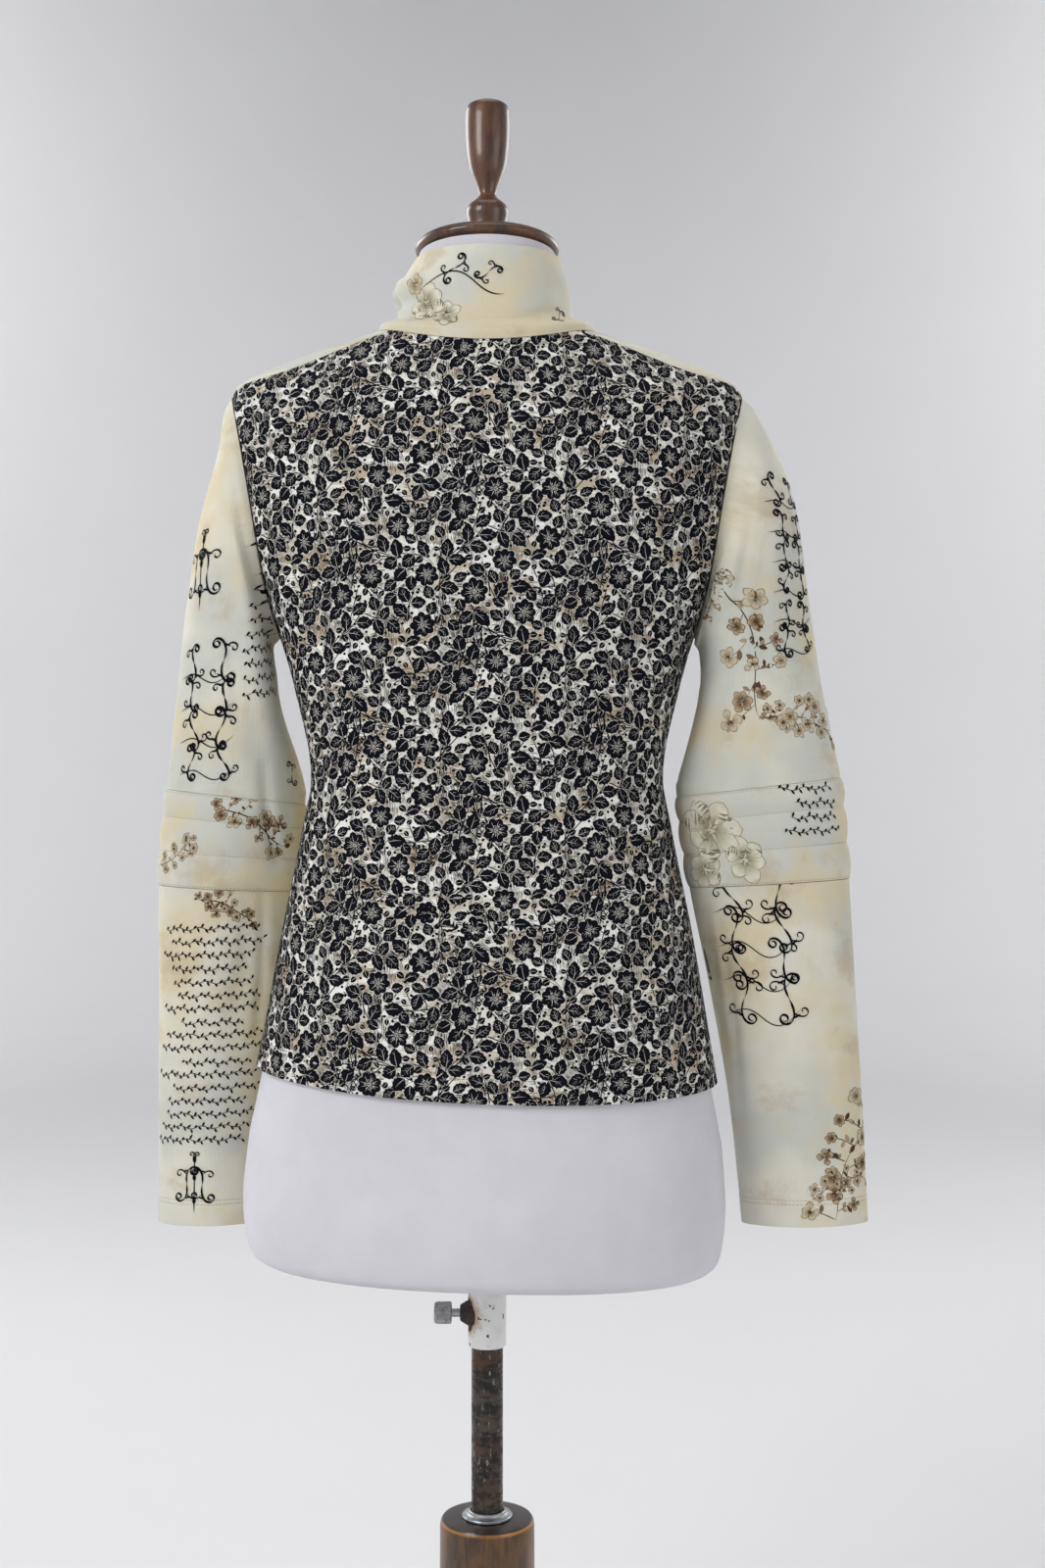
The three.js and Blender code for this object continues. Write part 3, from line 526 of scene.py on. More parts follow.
# Neck cap and finial
# Both are turned from dark stained wood with a glossy varnish. The cap closes the form's neck, and the
# finial is the handle that the form is lifted by.
CAP = [
    (47, 0.2), (50, 0), (53.4, 0.9), (55.6, 3), (56, 5), (55.4, 6.8), (54.2, 7.6), (54.4, 8.1), (53.2, 9.4),
    (50, 10), (46, 9.6), (20, 10.1), (3, 10.1),
]
FINIAL = [
    (14.5, 0), (14.6, 12.4), (15.2, 15), (15.5, 18), (16.3, 20.5), (16.7, 23), (16.7, 25.4), (16.0, 28),
    (14.3, 30.6), (12, 32.6), (9.4, 34.8), (7.6, 36.6), (6.9, 38.4), (6.9, 39.8), (7.6, 43), (9.1, 47.5),
    (11.4, 53.2), (13.7, 59), (15.3, 66), (16.3, 73), (17.1, 81), (17.4, 89), (17.5, 97), (17.4, 104),
    (17.0, 107), (16.0, 109.3), (14, 110.7), (11, 111.3), (6, 111.5), (1, 111.5),
]
NECK_TOP = (0, 0.006, 1.3003)
NECK_TILT = 0.07
CAP_THICKNESS = 0.0103
dark_wood = turned_wood("dark_wood", (0.014, 0.004, 0.002), (0.150, 0.050, 0.011), 0.5, grain=34.0)
cap = turned("wooden_cap", millimetres(CAP), 96)
finial = turned("wooden_finial", [(r, z + CAP_THICKNESS) for r, z in millimetres(FINIAL)], 80)
for piece, node in ((cap, "neck_cap"), (finial, "finial")):
    piece.location = NECK_TOP
    piece.rotation_euler = (-NECK_TILT, 0, 0)
    place_in_mesh(piece)
    finish(piece, dark_wood, "form", node, 40)


# Jacket panels
# The jacket is cut from a thin printed cotton jersey: one floral back, two cream fronts, a doubled stand
# collar, and sleeves in three lengths. Each piece is a thin shell on its own part of the surface, and keeps
# the flat place of each of its points, so that prints and stitches can be laid on it.
CLOTH = 0.9
SEAM = 0.3
ZIP_WIDTH = 11


def column_lengths(points):
    """The length along each column of a grid, from its first row."""
    steps = np.linalg.norm(np.diff(points, axis=0), axis=-1)
    return np.concatenate([np.zeros((1, steps.shape[1])), np.cumsum(steps, axis=0)])


def line_inside(points, flat, distance):
    """The flat line that is a distance along each column of a grid, in millimetres."""
    lengths = column_lengths(points)
    return [
        tuple(np.interp(distance, lengths[:, i], flat[:, i, axis]) for axis in (0, 1))
        for i in range(lengths.shape[1])
    ]


HEM_ROWS = (17.5, 21.0)
HEM_RISE = 0.45
HEM_DEPTH = 23.2
HEM_SLOPE = 1.4
STITCH_DENT = 0.35
DENT_WIDTH = 1.1


def hem(points, outwards, distance):
    """Lifts the cloth where it is turned up along an edge, and presses in its two rows of stitches."""
    past = np.clip((HEM_DEPTH - distance) / HEM_SLOPE, 0, 1)
    rise = HEM_RISE * past * past * (3 - 2 * past)
    for row in HEM_ROWS:
        rise = rise - STITCH_DENT * np.exp(-(((distance - row) / DENT_WIDTH) ** 2))
    return points + outwards * rise[..., None]


def modify(piece, kind, **settings):
    """Adds a modifier to a piece with its settings, and applies it."""
    activate(piece)
    bpy.ops.object.modifier_add(type=kind)
    modifier = piece.modifiers[-1]
    for key, value in settings.items():
        setattr(modifier, key, value)
    bpy.ops.object.modifier_apply(modifier=modifier.name)


# A spot that lies further off a panel's flat shape than this is past its edge.
EDGE_SLACK = 0.02


class Panel:
    """A piece of cloth as a grid of points, with the flat place of each point in millimetres."""

    def __init__(self, points, middle, closed=False, flip=False):
        self.points = points
        self.closed = closed
        self.flip = flip
        step_u = np.diff(points, axis=1)
        widths = np.hypot(step_u[..., 0], step_u[..., 1])
        across = np.concatenate([np.zeros((len(points), 1)), np.cumsum(widths, axis=1)], axis=1)
        across = across - across[:, middle : middle + 1]
        self.flat = np.stack([across, points[..., 2]], -1)
        down = np.diff(points, axis=0)
        slant = np.linalg.norm(down, axis=-1) - np.abs(down[..., 2])
        extra = np.concatenate([[0], np.cumsum(slant[:, middle])])
        self.flat[..., 1] += extra[:, None]
        self.outwards = self.grid_normals()
        rows, columns = points.shape[:2]
        quads = np.array(grid_faces(rows, columns))
        self.corners = np.concatenate([quads[:, [0, 1, 2]], quads[:, [0, 2, 3]]])
        spread = np.column_stack([self.flat.reshape(-1, 2), np.zeros(rows * columns)])
        self.search = BVHTree.FromPolygons(spread.tolist(), self.corners.tolist())

    def lay(self, spots, rise):
        """Where flat spots lie on the cloth, raised off it, and which of them are past its edges."""
        found = [self.search.find_nearest((x, y, 0)) for x, y in spots]
        near = np.array([hit[0][:2] for hit in found])
        past = np.array([hit[3] for hit in found]) > EDGE_SLACK
        corners = self.corners[[hit[2] for hit in found]]
        flat = self.flat.reshape(-1, 2)[corners]
        side_b, side_c, reach = flat[:, 1] - flat[:, 0], flat[:, 2] - flat[:, 0], near - flat[:, 0]
        whole = side_b[:, 0] * side_c[:, 1] - side_b[:, 1] * side_c[:, 0]
        whole = np.where(np.abs(whole) < 1e-9, 1e-9, whole)
        share_b = (reach[:, 0] * side_c[:, 1] - reach[:, 1] * side_c[:, 0]) / whole
        share_c = (side_b[:, 0] * reach[:, 1] - side_b[:, 1] * reach[:, 0]) / whole
        shares = np.column_stack([1 - share_b - share_c, share_b, share_c])[..., None]
        places = (self.points.reshape(-1, 3)[corners] * shares).sum(1)
        outwards = (self.outwards.reshape(-1, 3)[corners] * shares).sum(1)
        return places + outwards * np.asarray(rise)[..., None], past

    def level(self, distance, foot=True):
        """The flat line at that distance in from the panel's first row, or from its last."""
        points, flat = (self.points, self.flat) if foot else (self.points[::-1], self.flat[::-1])
        return line_inside(points, flat, distance)

    def beside(self, distance, first=True):
        """The flat line at that distance in from the panel's first column, or from its last."""
        points, flat = (self.points, self.flat) if first else (self.points[:, ::-1], self.flat[:, ::-1])
        return line_inside(points.transpose(1, 0, 2), flat.transpose(1, 0, 2), distance)

    def declare(self, piece, held, rests_on, with_pieces):
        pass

    def grid_normals(self):
        along_u = np.gradient(self.points, axis=1)
        along_v = np.gradient(self.points, axis=0)
        outwards = np.cross(along_u, along_v)
        outwards /= np.maximum(np.linalg.norm(outwards, axis=-1, keepdims=True), 1e-9)
        return -outwards if self.flip else outwards

    def build(self, name, material, slot, node, thickness=CLOTH):
        """The shell of cloth, with its flat places as its UV map, in metres."""
        rows, columns = self.points.shape[:2]
        faces = grid_faces(rows, columns)
        if self.flip:
            faces = [tuple(reversed(face)) for face in faces]
        piece = mesh_piece(name, self.points.reshape(-1, 3), faces)
        flat = self.flat.reshape(-1, 2) * 0.001
        layer = piece.data.uv_layers.new(name="Flat")
        corners = np.array([loop.vertex_index for loop in piece.data.loops])
        layer.data.foreach_set("uv", flat[corners].astype(np.float32).ravel())
        if self.closed:
            activate(piece)
            bpy.ops.object.mode_set(mode="EDIT")
            bpy.ops.mesh.select_all(action="SELECT")
            bpy.ops.mesh.remove_doubles(threshold=1e-5)
            bpy.ops.object.mode_set(mode="OBJECT")
        modify(piece, "SOLIDIFY", thickness=thickness * 0.001, offset=-1)
        finish(piece, material, "form", node, 60)
        return piece


# Turns in radians: how far the armhole opens to the front and to the back of the side seam, and how far the
# seam has moved to the back at the armhole's top and along the shoulder, which it reaches in SEAM_RUN rows.
OPENS_FRONT, OPENS_BACK = 0.6, 0.33
DRIFT_ARMHOLE, DRIFT_SHOULDER = 0.12, 0.5
SEAM_RUN = 1.4
ARMHOLE_ROUND = 0.6


def side_edges(at):
    """The turns of the armhole's two edges, or of the shoulder seam above it."""
    t = np.clip((at - UNDERARM) / (SHOULDER - UNDERARM), 0, 1)
    opening = np.maximum(np.sin(math.pi * t), 0) ** ARMHOLE_ROUND
    s = np.clip((at - SHOULDER) / SEAM_RUN, 0, 1)
    drift = DRIFT_ARMHOLE * t + (DRIFT_SHOULDER - DRIFT_ARMHOLE) * s * s * (3 - 2 * s)
    return OPENS_FRONT * opening - drift, -OPENS_BACK * opening - drift


def turn_for(rings, at, distance):
    return np.arcsin((distance / read(rings, "side", at)) ** (read(rings, "round", at) / 2))


BODY_FOLDS = [
    ("back", -72, 803, 36, 786, 3, 5, 4.0),
    ("back", -60, 815, 44, 799, 3, 7, -2.6),
    ("back", -10, 770, 52, 752, -2, 7, 1.6),
    ("back", -120, 842, -44, 862, 4, 9, 2.6),
    ("back", -132, 884, -66, 893, -3, 8, 1.6),
    ("back", 52, 858, 124, 838, -4, 9, 2.6),
    ("back", 70, 900, 130, 888, 3, 8, 1.5),
    ("back", 48, 711, 70, 690, 0, 6, 1.8),
    ("back", 66, 740, 138, 766, 3, 10, 2.4),
    ("back", -150, 700, -96, 716, 2, 9, 1.4),
    ("back", 138, 1046, 112, 960, 3, 9, 2.2),
    ("back", -138, 1046, -112, 960, -3, 9, 2.2),
    ("back", 156, 1120, 132, 1040, 3, 8, 1.4),
    ("back", -156, 1120, -132, 1040, -3, 8, 1.4),
    ("back", -60, 1188, 60, 1190, 2, 7, 1.2),
    ("front", -118, 850, -34, 872, 3, 10, 2.6),
    ("front", 30, 868, 116, 842, -3, 10, 2.6),
    ("front", 132, 1070, 96, 1020, 3, 9, 2),
    ("front", -132, 1070, -96, 1020, -3, 9, 2),
    ("front", -96, 716, -30, 748, 2, 11, 2),
    ("front", 24, 930, 92, 948, 2, 9, 1.4),
]


def body_cloth(turn, at):
    point = body_surface(turn, at)
    return point - normals(body_surface, turn, at) * fold_depth(BODY_FOLDS, point, 0)[..., None]


def valley(points, outwards, distance, depth=0.7, width=2.2):
    """Presses the cloth in where it runs into a seam at that distance, in millimetres."""
    return points - outwards * (depth * np.exp(-((distance / width) ** 2)))[..., None]


BODY_ROWS = np.unique(np.concatenate([
    np.linspace(0, 0.75, 30),
    np.linspace(0.75, UNDERARM, 100),
    UNDERARM + (SHOULDER - UNDERARM) * (1 - np.cos(np.linspace(0, math.pi, 64))) / 2,
    np.linspace(SHOULDER, NECK, 22),
]))


def body_panel(edges, columns, middle, flip=False):
    """A part of the body between two edges, which are functions of the row."""
    low, high = edges(BODY_ROWS)
    share = np.linspace(0, 1, columns)
    turn = low[:, None] + (high - low)[:, None] * share[None, :]
    at = np.repeat(BODY_ROWS[:, None], columns, axis=1)
    points = body_cloth(turn, at)
    outwards = normals(body_surface, turn, at)
    girth = np.linalg.norm(np.diff(points, axis=1), axis=-1).sum(1, keepdims=True)
    points = valley(points, outwards, share[None, :] * girth)
    points = valley(points, outwards, (1 - share)[None, :] * girth)
    points = hem(points, outwards, column_lengths(points))
    return Panel(points, middle, flip=flip)


def back_edges(at):
    _, edge = side_edges(at)
    gap = 0.5 * SEAM / read(BODY, "side", at)
    return -math.pi - (edge - gap), edge - gap


def right_front_edges(at):
    edge, _ = side_edges(at)
    gap = 0.5 * SEAM / read(BODY, "side", at)
    return edge + gap, math.pi / 2 - turn_for(BODY, at, ZIP_WIDTH / 2 - 1)


def left_front_edges(at):
    low, high = right_front_edges(at)
    return math.pi - high, math.pi - low


def flat_place(first):
    """The place on a cloth's own flat cut, which its UV map holds in metres."""
    return first.node("UVMap", {"uv_map": "Flat"})


def jersey_height(flat):
    """Fine knitted ribs along the cloth, about a millimetre apart, with uneven yarn."""
    inputs = {"Vector": flat, "Scale": 320.0, "Distortion": 0.6}
    ribs = flat.node("TexWave", {"bands_direction": "X"}, inputs)
    return ribs * 0.6 + flat.noise(1500, 2) * 0.4


JERSEY = {"roughness": 0.85, "specular": 0.2, "sheen_weight": 0.05, "sheen_roughness": 0.5}
floral, place = new_material("floral_jersey", **JERSEY)
flat = flat_place(place)
clouds = flat.noise(26, 4, 0.6, stretch=(1, 1.25, 1))
streaks = flat.noise(34, 4, 0.65, stretch=(0.55, 2.0, 1), shift=(0.4, 0.2, 0))
ground = clouds.above(0.45, 0.62).mix((0.78, 0.76, 0.69), (0.53, 0.43, 0.30))
ground = streaks.above(0.50, 0.57).mix(ground, (0.88, 0.87, 0.83))
paint(floral, base_color=ground, normal=place.bump(jersey_height(flat), 0.00022, 0.5))

cream, place = new_material("cream_jersey", **JERSEY)
flat = flat_place(place)
wash = flat.noise(7.5, 3, 0.55)
pool = flat.noise(11, 3, 0.6, shift=(0.35, 0.8, 0))
edge = flat.noise(18, 5, 0.65, shift=(0.9, 0.1, 0))
ground = wash.above(0.42, 0.58).mix((0.735, 0.715, 0.60), (0.60, 0.61, 0.545))
ground = (pool.above(0.46, 0.62) * 0.8).mix(ground, (0.69, 0.60, 0.40))
ground = (edge.above(0.52, 0.68) * 0.55).mix(ground, (0.52, 0.42, 0.27))
paint(cream, base_color=ground, normal=place.bump(jersey_height(flat), 0.00022, 0.5))

BACK_COLUMNS = 131
FRONT_COLUMNS = 63
panels = {
    "back": body_panel(back_edges, BACK_COLUMNS, BACK_COLUMNS // 2),
    "front_right": body_panel(right_front_edges, FRONT_COLUMNS, FRONT_COLUMNS - 1),
    "front_left": body_panel(left_front_edges, FRONT_COLUMNS, 0),
}
pieces = {}
for name, panel in panels.items():
    cloth, slot = (floral, "floral_jersey") if name == "back" else (cream, "cream_jersey")
    pieces[name] = panel.build("jacket_" + name, cloth, slot, name)

# Collar
# A tall stand collar cut double from the cream cloth and folded over at its top edge, so that it is soft
# and slouches. It creases at its foot, and its left side is pinched and bulges.
COLLAR = table(
    "side side_z front front_z back back_z round lean shift",
    [
        (84, 1238.4, 66, 1204.4, 71, 1219.4, 2.1, 0, 0),
        (82, 1244, 66, 1215, 71, 1227, 2.1, 1, 0),
        (70, 1248, 61, 1223, 65, 1234, 2.1, 2, -1),
        (68, 1255, 65, 1233, 65, 1241, 2.1, 3, -2),
        (66, 1270, 64, 1252, 62, 1260, 2.1, 4, -2),
        (62, 1284, 62, 1269, 60, 1279, 2.1, 5, -1),
        (57, 1295, 58, 1283, 57, 1295, 2.1, 6, 1),
    ],
)
COLLAR_FOLDS = [
    ("back", -76, 1262, -46, 1256, 1, 5, 4.4),
    ("back", -72, 1275, -52, 1274, 1, 7, -5),
    ("back", -66, 1284, -50, 1268, 1, 3, 1.8),
    ("back", -62, 1248, -30, 1250, 1, 3, 1.6),
    ("back", 26, 1240, 62, 1252, 1, 3, 1.4),
    ("back", 40, 1262, 60, 1272, 1, 4, 1.0),
    ("front", -80, 1274, -42, 1262, 1, 9, -6),
    ("front", -70, 1256, -30, 1246, 1, 6, 3),
    ("front", 20, 1240, 66, 1252, 1, 6, 2.4),
    ("front", 24, 1268, 50, 1276, 1, 5, 1.4),
]


def collar_surface(turn, at):
    return ring_point(COLLAR, at, turn)


DOUBLED = 1.7
COLLAR_COLUMNS = 161
collar_at = np.linspace(0, 6, 49)
zip_turn = turn_for(COLLAR, collar_at, ZIP_WIDTH / 2 - 1)
share = np.linspace(0, 1, COLLAR_COLUMNS)
turn = math.pi / 2 + zip_turn[:, None] + share[None, :] * 2 * (math.pi - zip_turn)[:, None]
at = np.repeat(collar_at[:, None], COLLAR_COLUMNS, axis=1)
points = collar_surface(turn, at)
depth = fold_depth(COLLAR_FOLDS, points, 0)
points = points - normals(collar_surface, turn, at) * depth[..., None]
panels["collar"] = Panel(points, COLLAR_COLUMNS // 2)
pieces["collar"] = panels["collar"].build("jacket_collar", cream, "cream_jersey", "collar", DOUBLED)

# Sleeves
# Each sleeve is three tubes: an upper sleeve set into the armhole, an elbow band with three raised channels,
# and a lower sleeve with a turned cuff. Outer and inner are the tube's two edges seen from behind, lean its
# shift to the front, and front and back its half depths.
SLEEVE_COLUMNS = "outer_x outer_z inner_x inner_z lean front back round"
SLEEVES = {
    "right": table(
        SLEEVE_COLUMNS,
        [
            (221, 1153, 167, 994, 3, 62, 56, 2.1),
            (239, 1105, 166, 966, 3, 56, 50, 2.1),
            (249, 1036, 160, 938, 2, 46, 42, 2),
            (259, 968, 153, 912, 1, 38, 36, 2),
            (271, 910, 148, 894, 1, 34, 33, 1.9),
            (274, 895, 147, 880, 1, 33, 32, 1.9),
            (281, 817, 157, 810, 3, 30, 29, 1.9),
            (286, 740, 172, 737, 6, 27, 27, 1.8),
            (292, 648, 188, 647, 10, 25, 25, 1.8),
            (297, 549, 199, 548, 12, 23, 23, 1.8),
        ],
    ),
    "left": table(
        SLEEVE_COLUMNS,
        [
            (209, 1143, 167, 992, 5, 60, 54, 2.1),
            (224, 1092, 165, 962, 10, 55, 50, 2.1),
            (236, 1022, 158, 935, 16, 50, 46, 2),
            (245, 955, 150, 910, 24, 44, 42, 2),
            (252, 899, 145, 889, 31, 41, 39, 1.9),
            (254, 886, 145, 874, 33, 40, 38, 1.9),
            (262, 810, 154, 805, 42, 37, 35, 1.9),
            (264, 735, 165, 733, 52, 34, 33, 1.8),
            (266, 640, 173, 639, 60, 31, 30, 1.8),
            (267, 537, 178, 539, 67, 29, 28, 1.8),
        ],
    ),
}
SLEEVE_FOLDS = {
    "right": [
        ("back", 188, 1080, 158, 960, 3, 8, -4.5),
        ("back", 198, 1120, 184, 1000, -3, 9, 3.6),
        ("back", 214, 1080, 206, 1000, 3, 7, 1.6),
        ("back", 180, 960, 170, 905, 2, 7, 3),
        ("back", 168, 800, 186, 660, 3, 6, 3),
        ("back", 190, 920, 240, 932, 3, 7, 1.4),
        ("back", 206, 790, 262, 778, 2, 8, 1.2),
        ("back", 166, 880, 176, 820, 2, 4, 3.2),
        ("back", 178, 790, 196, 640, -2, 3.4, 2.6),
        ("back", 230, 1110, 238, 1010, 2, 5, 1.8),
        ("back", 196, 1000, 232, 955, -3, 6, 1.8),
        ("back", 250, 700, 276, 600, 4, 9, 1.4),
        ("front", 196, 1110, 178, 985, 3, 10, 3.4),
        ("front", 226, 1080, 214, 960, 3, 12, 2.6),
        ("front", 200, 800, 232, 742, 3, 9, 2.2),
        ("front", 180, 930, 236, 944, 3, 8, 2),
    ],
    "left": [
        ("back", 192, 1110, 168, 985, 3, 8, 3.4),
        ("back", 182, 1060, 160, 950, -3, 8, -3.4),
        ("back", 196, 1010, 176, 905, 3, 9, 2.8),
        ("back", 216, 1040, 206, 950, 3, 7, 1.5),
        ("back", 186, 800, 204, 690, 3, 8, 2),
        ("back", 176, 640, 200, 590, 3, 8, 1.4),
        ("back", 172, 905, 166, 830, -2, 4, 3.4),
        ("back", 176, 806, 184, 690, 2, 3.4, 3.0),
        ("back", 206, 1040, 190, 930, 2, 5, 2.2),
        ("back", 190, 990, 224, 950, -3, 6, 1.6),
        ("back", 196, 930, 236, 918, 3, 7, 1.2),
        ("front", 194, 1110, 172, 985, 3, 10, 3.4),
        ("front", 222, 1060, 206, 950, 3, 11, 2.6),
        ("front", 190, 792, 222, 742, 3, 9, 2.2),
    ],
}
BAND_TOP, BAND_FOOT, CUFF = 7, 8, 11
BAND_CHANNELS = 3
BAND_RIB = 2.3
SEAM_ROOM = 0.7
HEAD_SHARE = 0.3


def armhole_point(turn):
    """The armhole's loop on the body and its outward direction, from the shoulder round by the front."""
    at = UNDERARM + (SHOULDER - UNDERARM) * (1 + np.cos(turn)) / 2
    front, back = side_edges(at)
    place = np.where(np.sin(turn) >= 0, front, back)
    return body_surface(place, at), normals(body_surface, place, at)


def sleeve_surface(rows):
    """A sleeve's outer face. At is 0 at the armhole, 1 at the sleeve's head and 2 on at each table row."""

    def surface(turn, at):
        loop, outwards = armhole_point(-turn)
        across = np.cos(turn)
        along = -np.sin(turn)
        rings = []
        for row in range(len(rows["round"])):
            bend = 2 / rows["round"][row]
            t = (1 + power(across, bend)) / 2
            deep = np.where(along >= 0, rows["front"][row], rows["back"][row]) * power(along, bend)
            x = rows["inner_x"][row] + (rows["outer_x"][row] - rows["inner_x"][row]) * t
            z = rows["inner_z"][row] + (rows["outer_z"][row] - rows["inner_z"][row]) * t
            rings.append(np.stack([x, rows["lean"][row] + deep, z], -1))
        # The head stands 1 mm off the body at the underarm and 3 mm at the shoulder.
        head = loop + HEAD_SHARE * (rings[0] - loop) + outwards * (2 + across)[..., None]
        start = loop + (head - loop) / np.linalg.norm(head - loop, axis=-1, keepdims=True) * SEAM_ROOM
        line = np.stack([start, head, *rings])
        last = len(line) - 1
        row = np.clip(np.floor(at).astype(int), 0, last - 1)
        a, b, c, d = (
            np.take_along_axis(line, np.clip(row + step, 0, last)[None, ..., None], axis=0)[0]
            for step in (-1, 0, 1, 2)
        )
        a = np.where((row > 0)[..., None], a, 2 * b - c)
        d = np.where((row + 1 < last)[..., None], d, 2 * c - b)
        return curve(a, b, c, d, (at - row)[..., None])

    return surface


SLEEVE_TURNS = 97
# The rows lie closer on the turned cuff, from CUFF_HEM on.
CUFF_HEM = 10.7
SLEEVE_PIECES = {
    "sleeve_upper": np.linspace(0, BAND_TOP - 0.004, 92),
    "elbow_band": np.linspace(BAND_TOP + 0.002, BAND_FOOT - 0.002, 46),
    "sleeve_lower": np.concatenate([
        np.linspace(BAND_FOOT + 0.004, CUFF_HEM - 0.02, 86),
        np.linspace(CUFF_HEM, CUFF, 30),
    ]),
}


def sleeve_panel(side, rows):
    """A length of a sleeve, cut along its inner edge, with the flat place 0 at the middle of its back."""
    rings = SLEEVES[side]
    surface = sleeve_surface(rings)
    # On both sleeves the flat place grows to the right, seen from behind.
    turns = np.linspace(-math.pi, math.pi, SLEEVE_TURNS)
    turns = turns if side == "left" else turns[::-1]
    quarter = (SLEEVE_TURNS - 1) // 4
    turn, at = np.meshgrid(turns, rows)
    lean = read(rings, "lean", np.maximum(at - 2, 0))
    base_points = surface(turn, at)
    folded = fold_depth(SLEEVE_FOLDS[side], base_points, lean) * np.clip(at - 0.2, 0, 1)
    channel = np.abs(np.sin(math.pi * BAND_CHANNELS * (at - BAND_TOP)))
    raised = np.where((at > BAND_TOP) & (at < BAND_FOOT), BAND_RIB * channel**0.7, 0)
    outwards = normals(surface, turn, at)
    points = base_points - outwards * (folded - raised)[..., None]
    if rows[-1] == CUFF:
        points = hem(points, outwards, column_lengths(points[::-1])[::-1])
    if side == "left":
        points[..., 0] *= -1
    return Panel(points, 3 * quarter if side == "left" else quarter, closed=True, flip=True)


for side in ("right", "left"):
    for part, rows in SLEEVE_PIECES.items():
        name = part + "_" + side
        panels[name] = sleeve_panel(side, rows)
        pieces[name] = panels[name].build("jacket_" + name, cream, "cream_jersey", name)


# Floral print
# The back is screen printed all over in blue-black: serrated leaves with pale veins, scalloped flowers,
# berries and flowing line work over tan and cream clouds. The print repeats, with every second strip
# dropped by half, and runs off the panel's edges as cut cloth does. Sizes are in millimetres.
class Print:
    """Ink as flat shapes, each corner with its colour and layer, to be laid on a panel."""

    def __init__(self):
        self.spots = []
        self.faces = []
        self.colours = []
        self.layers = []

    def band(self, left, right, ink, layer):
        """Ink between two lines that have as many points, with its faces up. Ink and layer may be lists."""
        start, count = len(self.spots), len(left)
        self.spots += [tuple(spot) for spot in (*left, *right)]
        inks = ink if isinstance(ink, list) else [ink] * count
        self.colours += inks + inks
        self.layers += np.broadcast_to(layer, 2 * count).tolist()
        for i in range(start, start + count - 1):
            self.faces.append((i, i + count, i + count + 1, i + 1))

    def ribbon(self, line, widths, ink, layer):
        line = np.asarray(line, float)
        along = np.gradient(line, axis=0)
        along /= np.maximum(np.linalg.norm(along, axis=1, keepdims=True), 1e-9)
        aside = np.column_stack([-along[:, 1], along[:, 0]]) * (np.asarray(widths) / 2)[:, None]
        self.band(line + aside, line - aside, ink, layer)

    def petal(self, x, y, angle, length, width, ink, layer, fullness=1.0, teeth=0.0, steps=7):
        """A leaf or petal from its root at x, y. Fullness moves its widest place towards the tip."""
        t = np.linspace(0, 1, steps)
        half = width / 2 * np.sin(math.pi * t**fullness) ** 0.8
        half = half * (1 + teeth * (-1.0) ** np.arange(steps))
        half[0] = half[-1] = 0.02
        middle = np.column_stack([t * length, np.zeros(steps)])
        turn = np.array([[math.cos(angle), math.sin(angle)], [-math.sin(angle), math.cos(angle)]])
        lines = [(middle + [[0, side * h] for h in half]) @ turn + (x, y) for side in (1, 0, -1)]
        self.band(lines[0], lines[1], ink, layer)
        self.band(lines[1], lines[2], ink, layer)

    def dot(self, x, y, radius, ink, layer):
        self.petal(x - radius, y, 0, 2 * radius, 2 * radius, ink, layer, steps=5)

    def lay(self, name, panel, material, slot, offsets=((0, 0),)):
        """Lays the print on a panel, once for each offset, as one mesh a hair above the cloth."""
        spots = (np.array(self.spots)[None] + np.array(offsets, float)[:, None]).reshape(-1, 2)
        count = len(self.spots)
        faces = np.concatenate([np.array(self.faces) + i * count for i in range(len(offsets))])
        low, high = panel.flat.min(axis=(0, 1)) - 1, panel.flat.max(axis=(0, 1)) + 1
        near = ((spots > low) & (spots < high)).all(1)
        faces = faces[near[faces].any(1)]
        used, faces = np.unique(faces, return_inverse=True)
        faces = faces.reshape(-1, 4)
        repeated = np.tile(np.arange(count), len(offsets))[used]
        places, past = panel.lay(spots[used], PRINT_RISE * (1 + np.array(self.layers)[repeated]))
        faces = faces[~past[faces].all(1)]
        used, faces = np.unique(faces, return_inverse=True)
        piece = mesh_piece(name, places[used], faces.reshape(-1, 4).tolist())
        inks = np.array(self.colours)[repeated][used]
        layer = piece.data.color_attributes.new("Ink", "FLOAT_COLOR", "POINT")
        inks = np.column_stack([inks, np.ones(len(inks))])
        layer.data.foreach_set("color", inks.astype(np.float32).ravel())
        piece.data.shade_smooth()
        piece.data.materials.append(material)
        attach(piece, "form")
        return piece


PRINT_RISE = 0.09
INK = (0.0045, 0.0050, 0.0090)
PALE = (0.79, 0.77, 0.70)
TAUPE = (0.150, 0.112, 0.078)
TILE_WIDE, TILE_HIGH = 92.0, 125.0

ink_material, place = new_material("print_ink", roughness=0.85, specular=0.08)
ink_colour = place.node("VertexColor", {"layer_name": "Ink"})
paint(ink_material, base_color=ink_colour)


def away(x, y, way, reach):
    """The spot that lies at a reach from x, y in a direction."""
    return x + reach * math.cos(way), y + reach * math.sin(way)


def flow(x, y):
    """The direction of the print's swirls, the same again one tile on."""
    across, up = 2 * math.pi * x / TILE_WIDE, 2 * math.pi * y / TILE_HIGH
    return 1.2 + 1.3 * math.sin(across + 1.1 * math.sin(up)) + 1.5 * math.cos(up + 0.8 * math.sin(across))


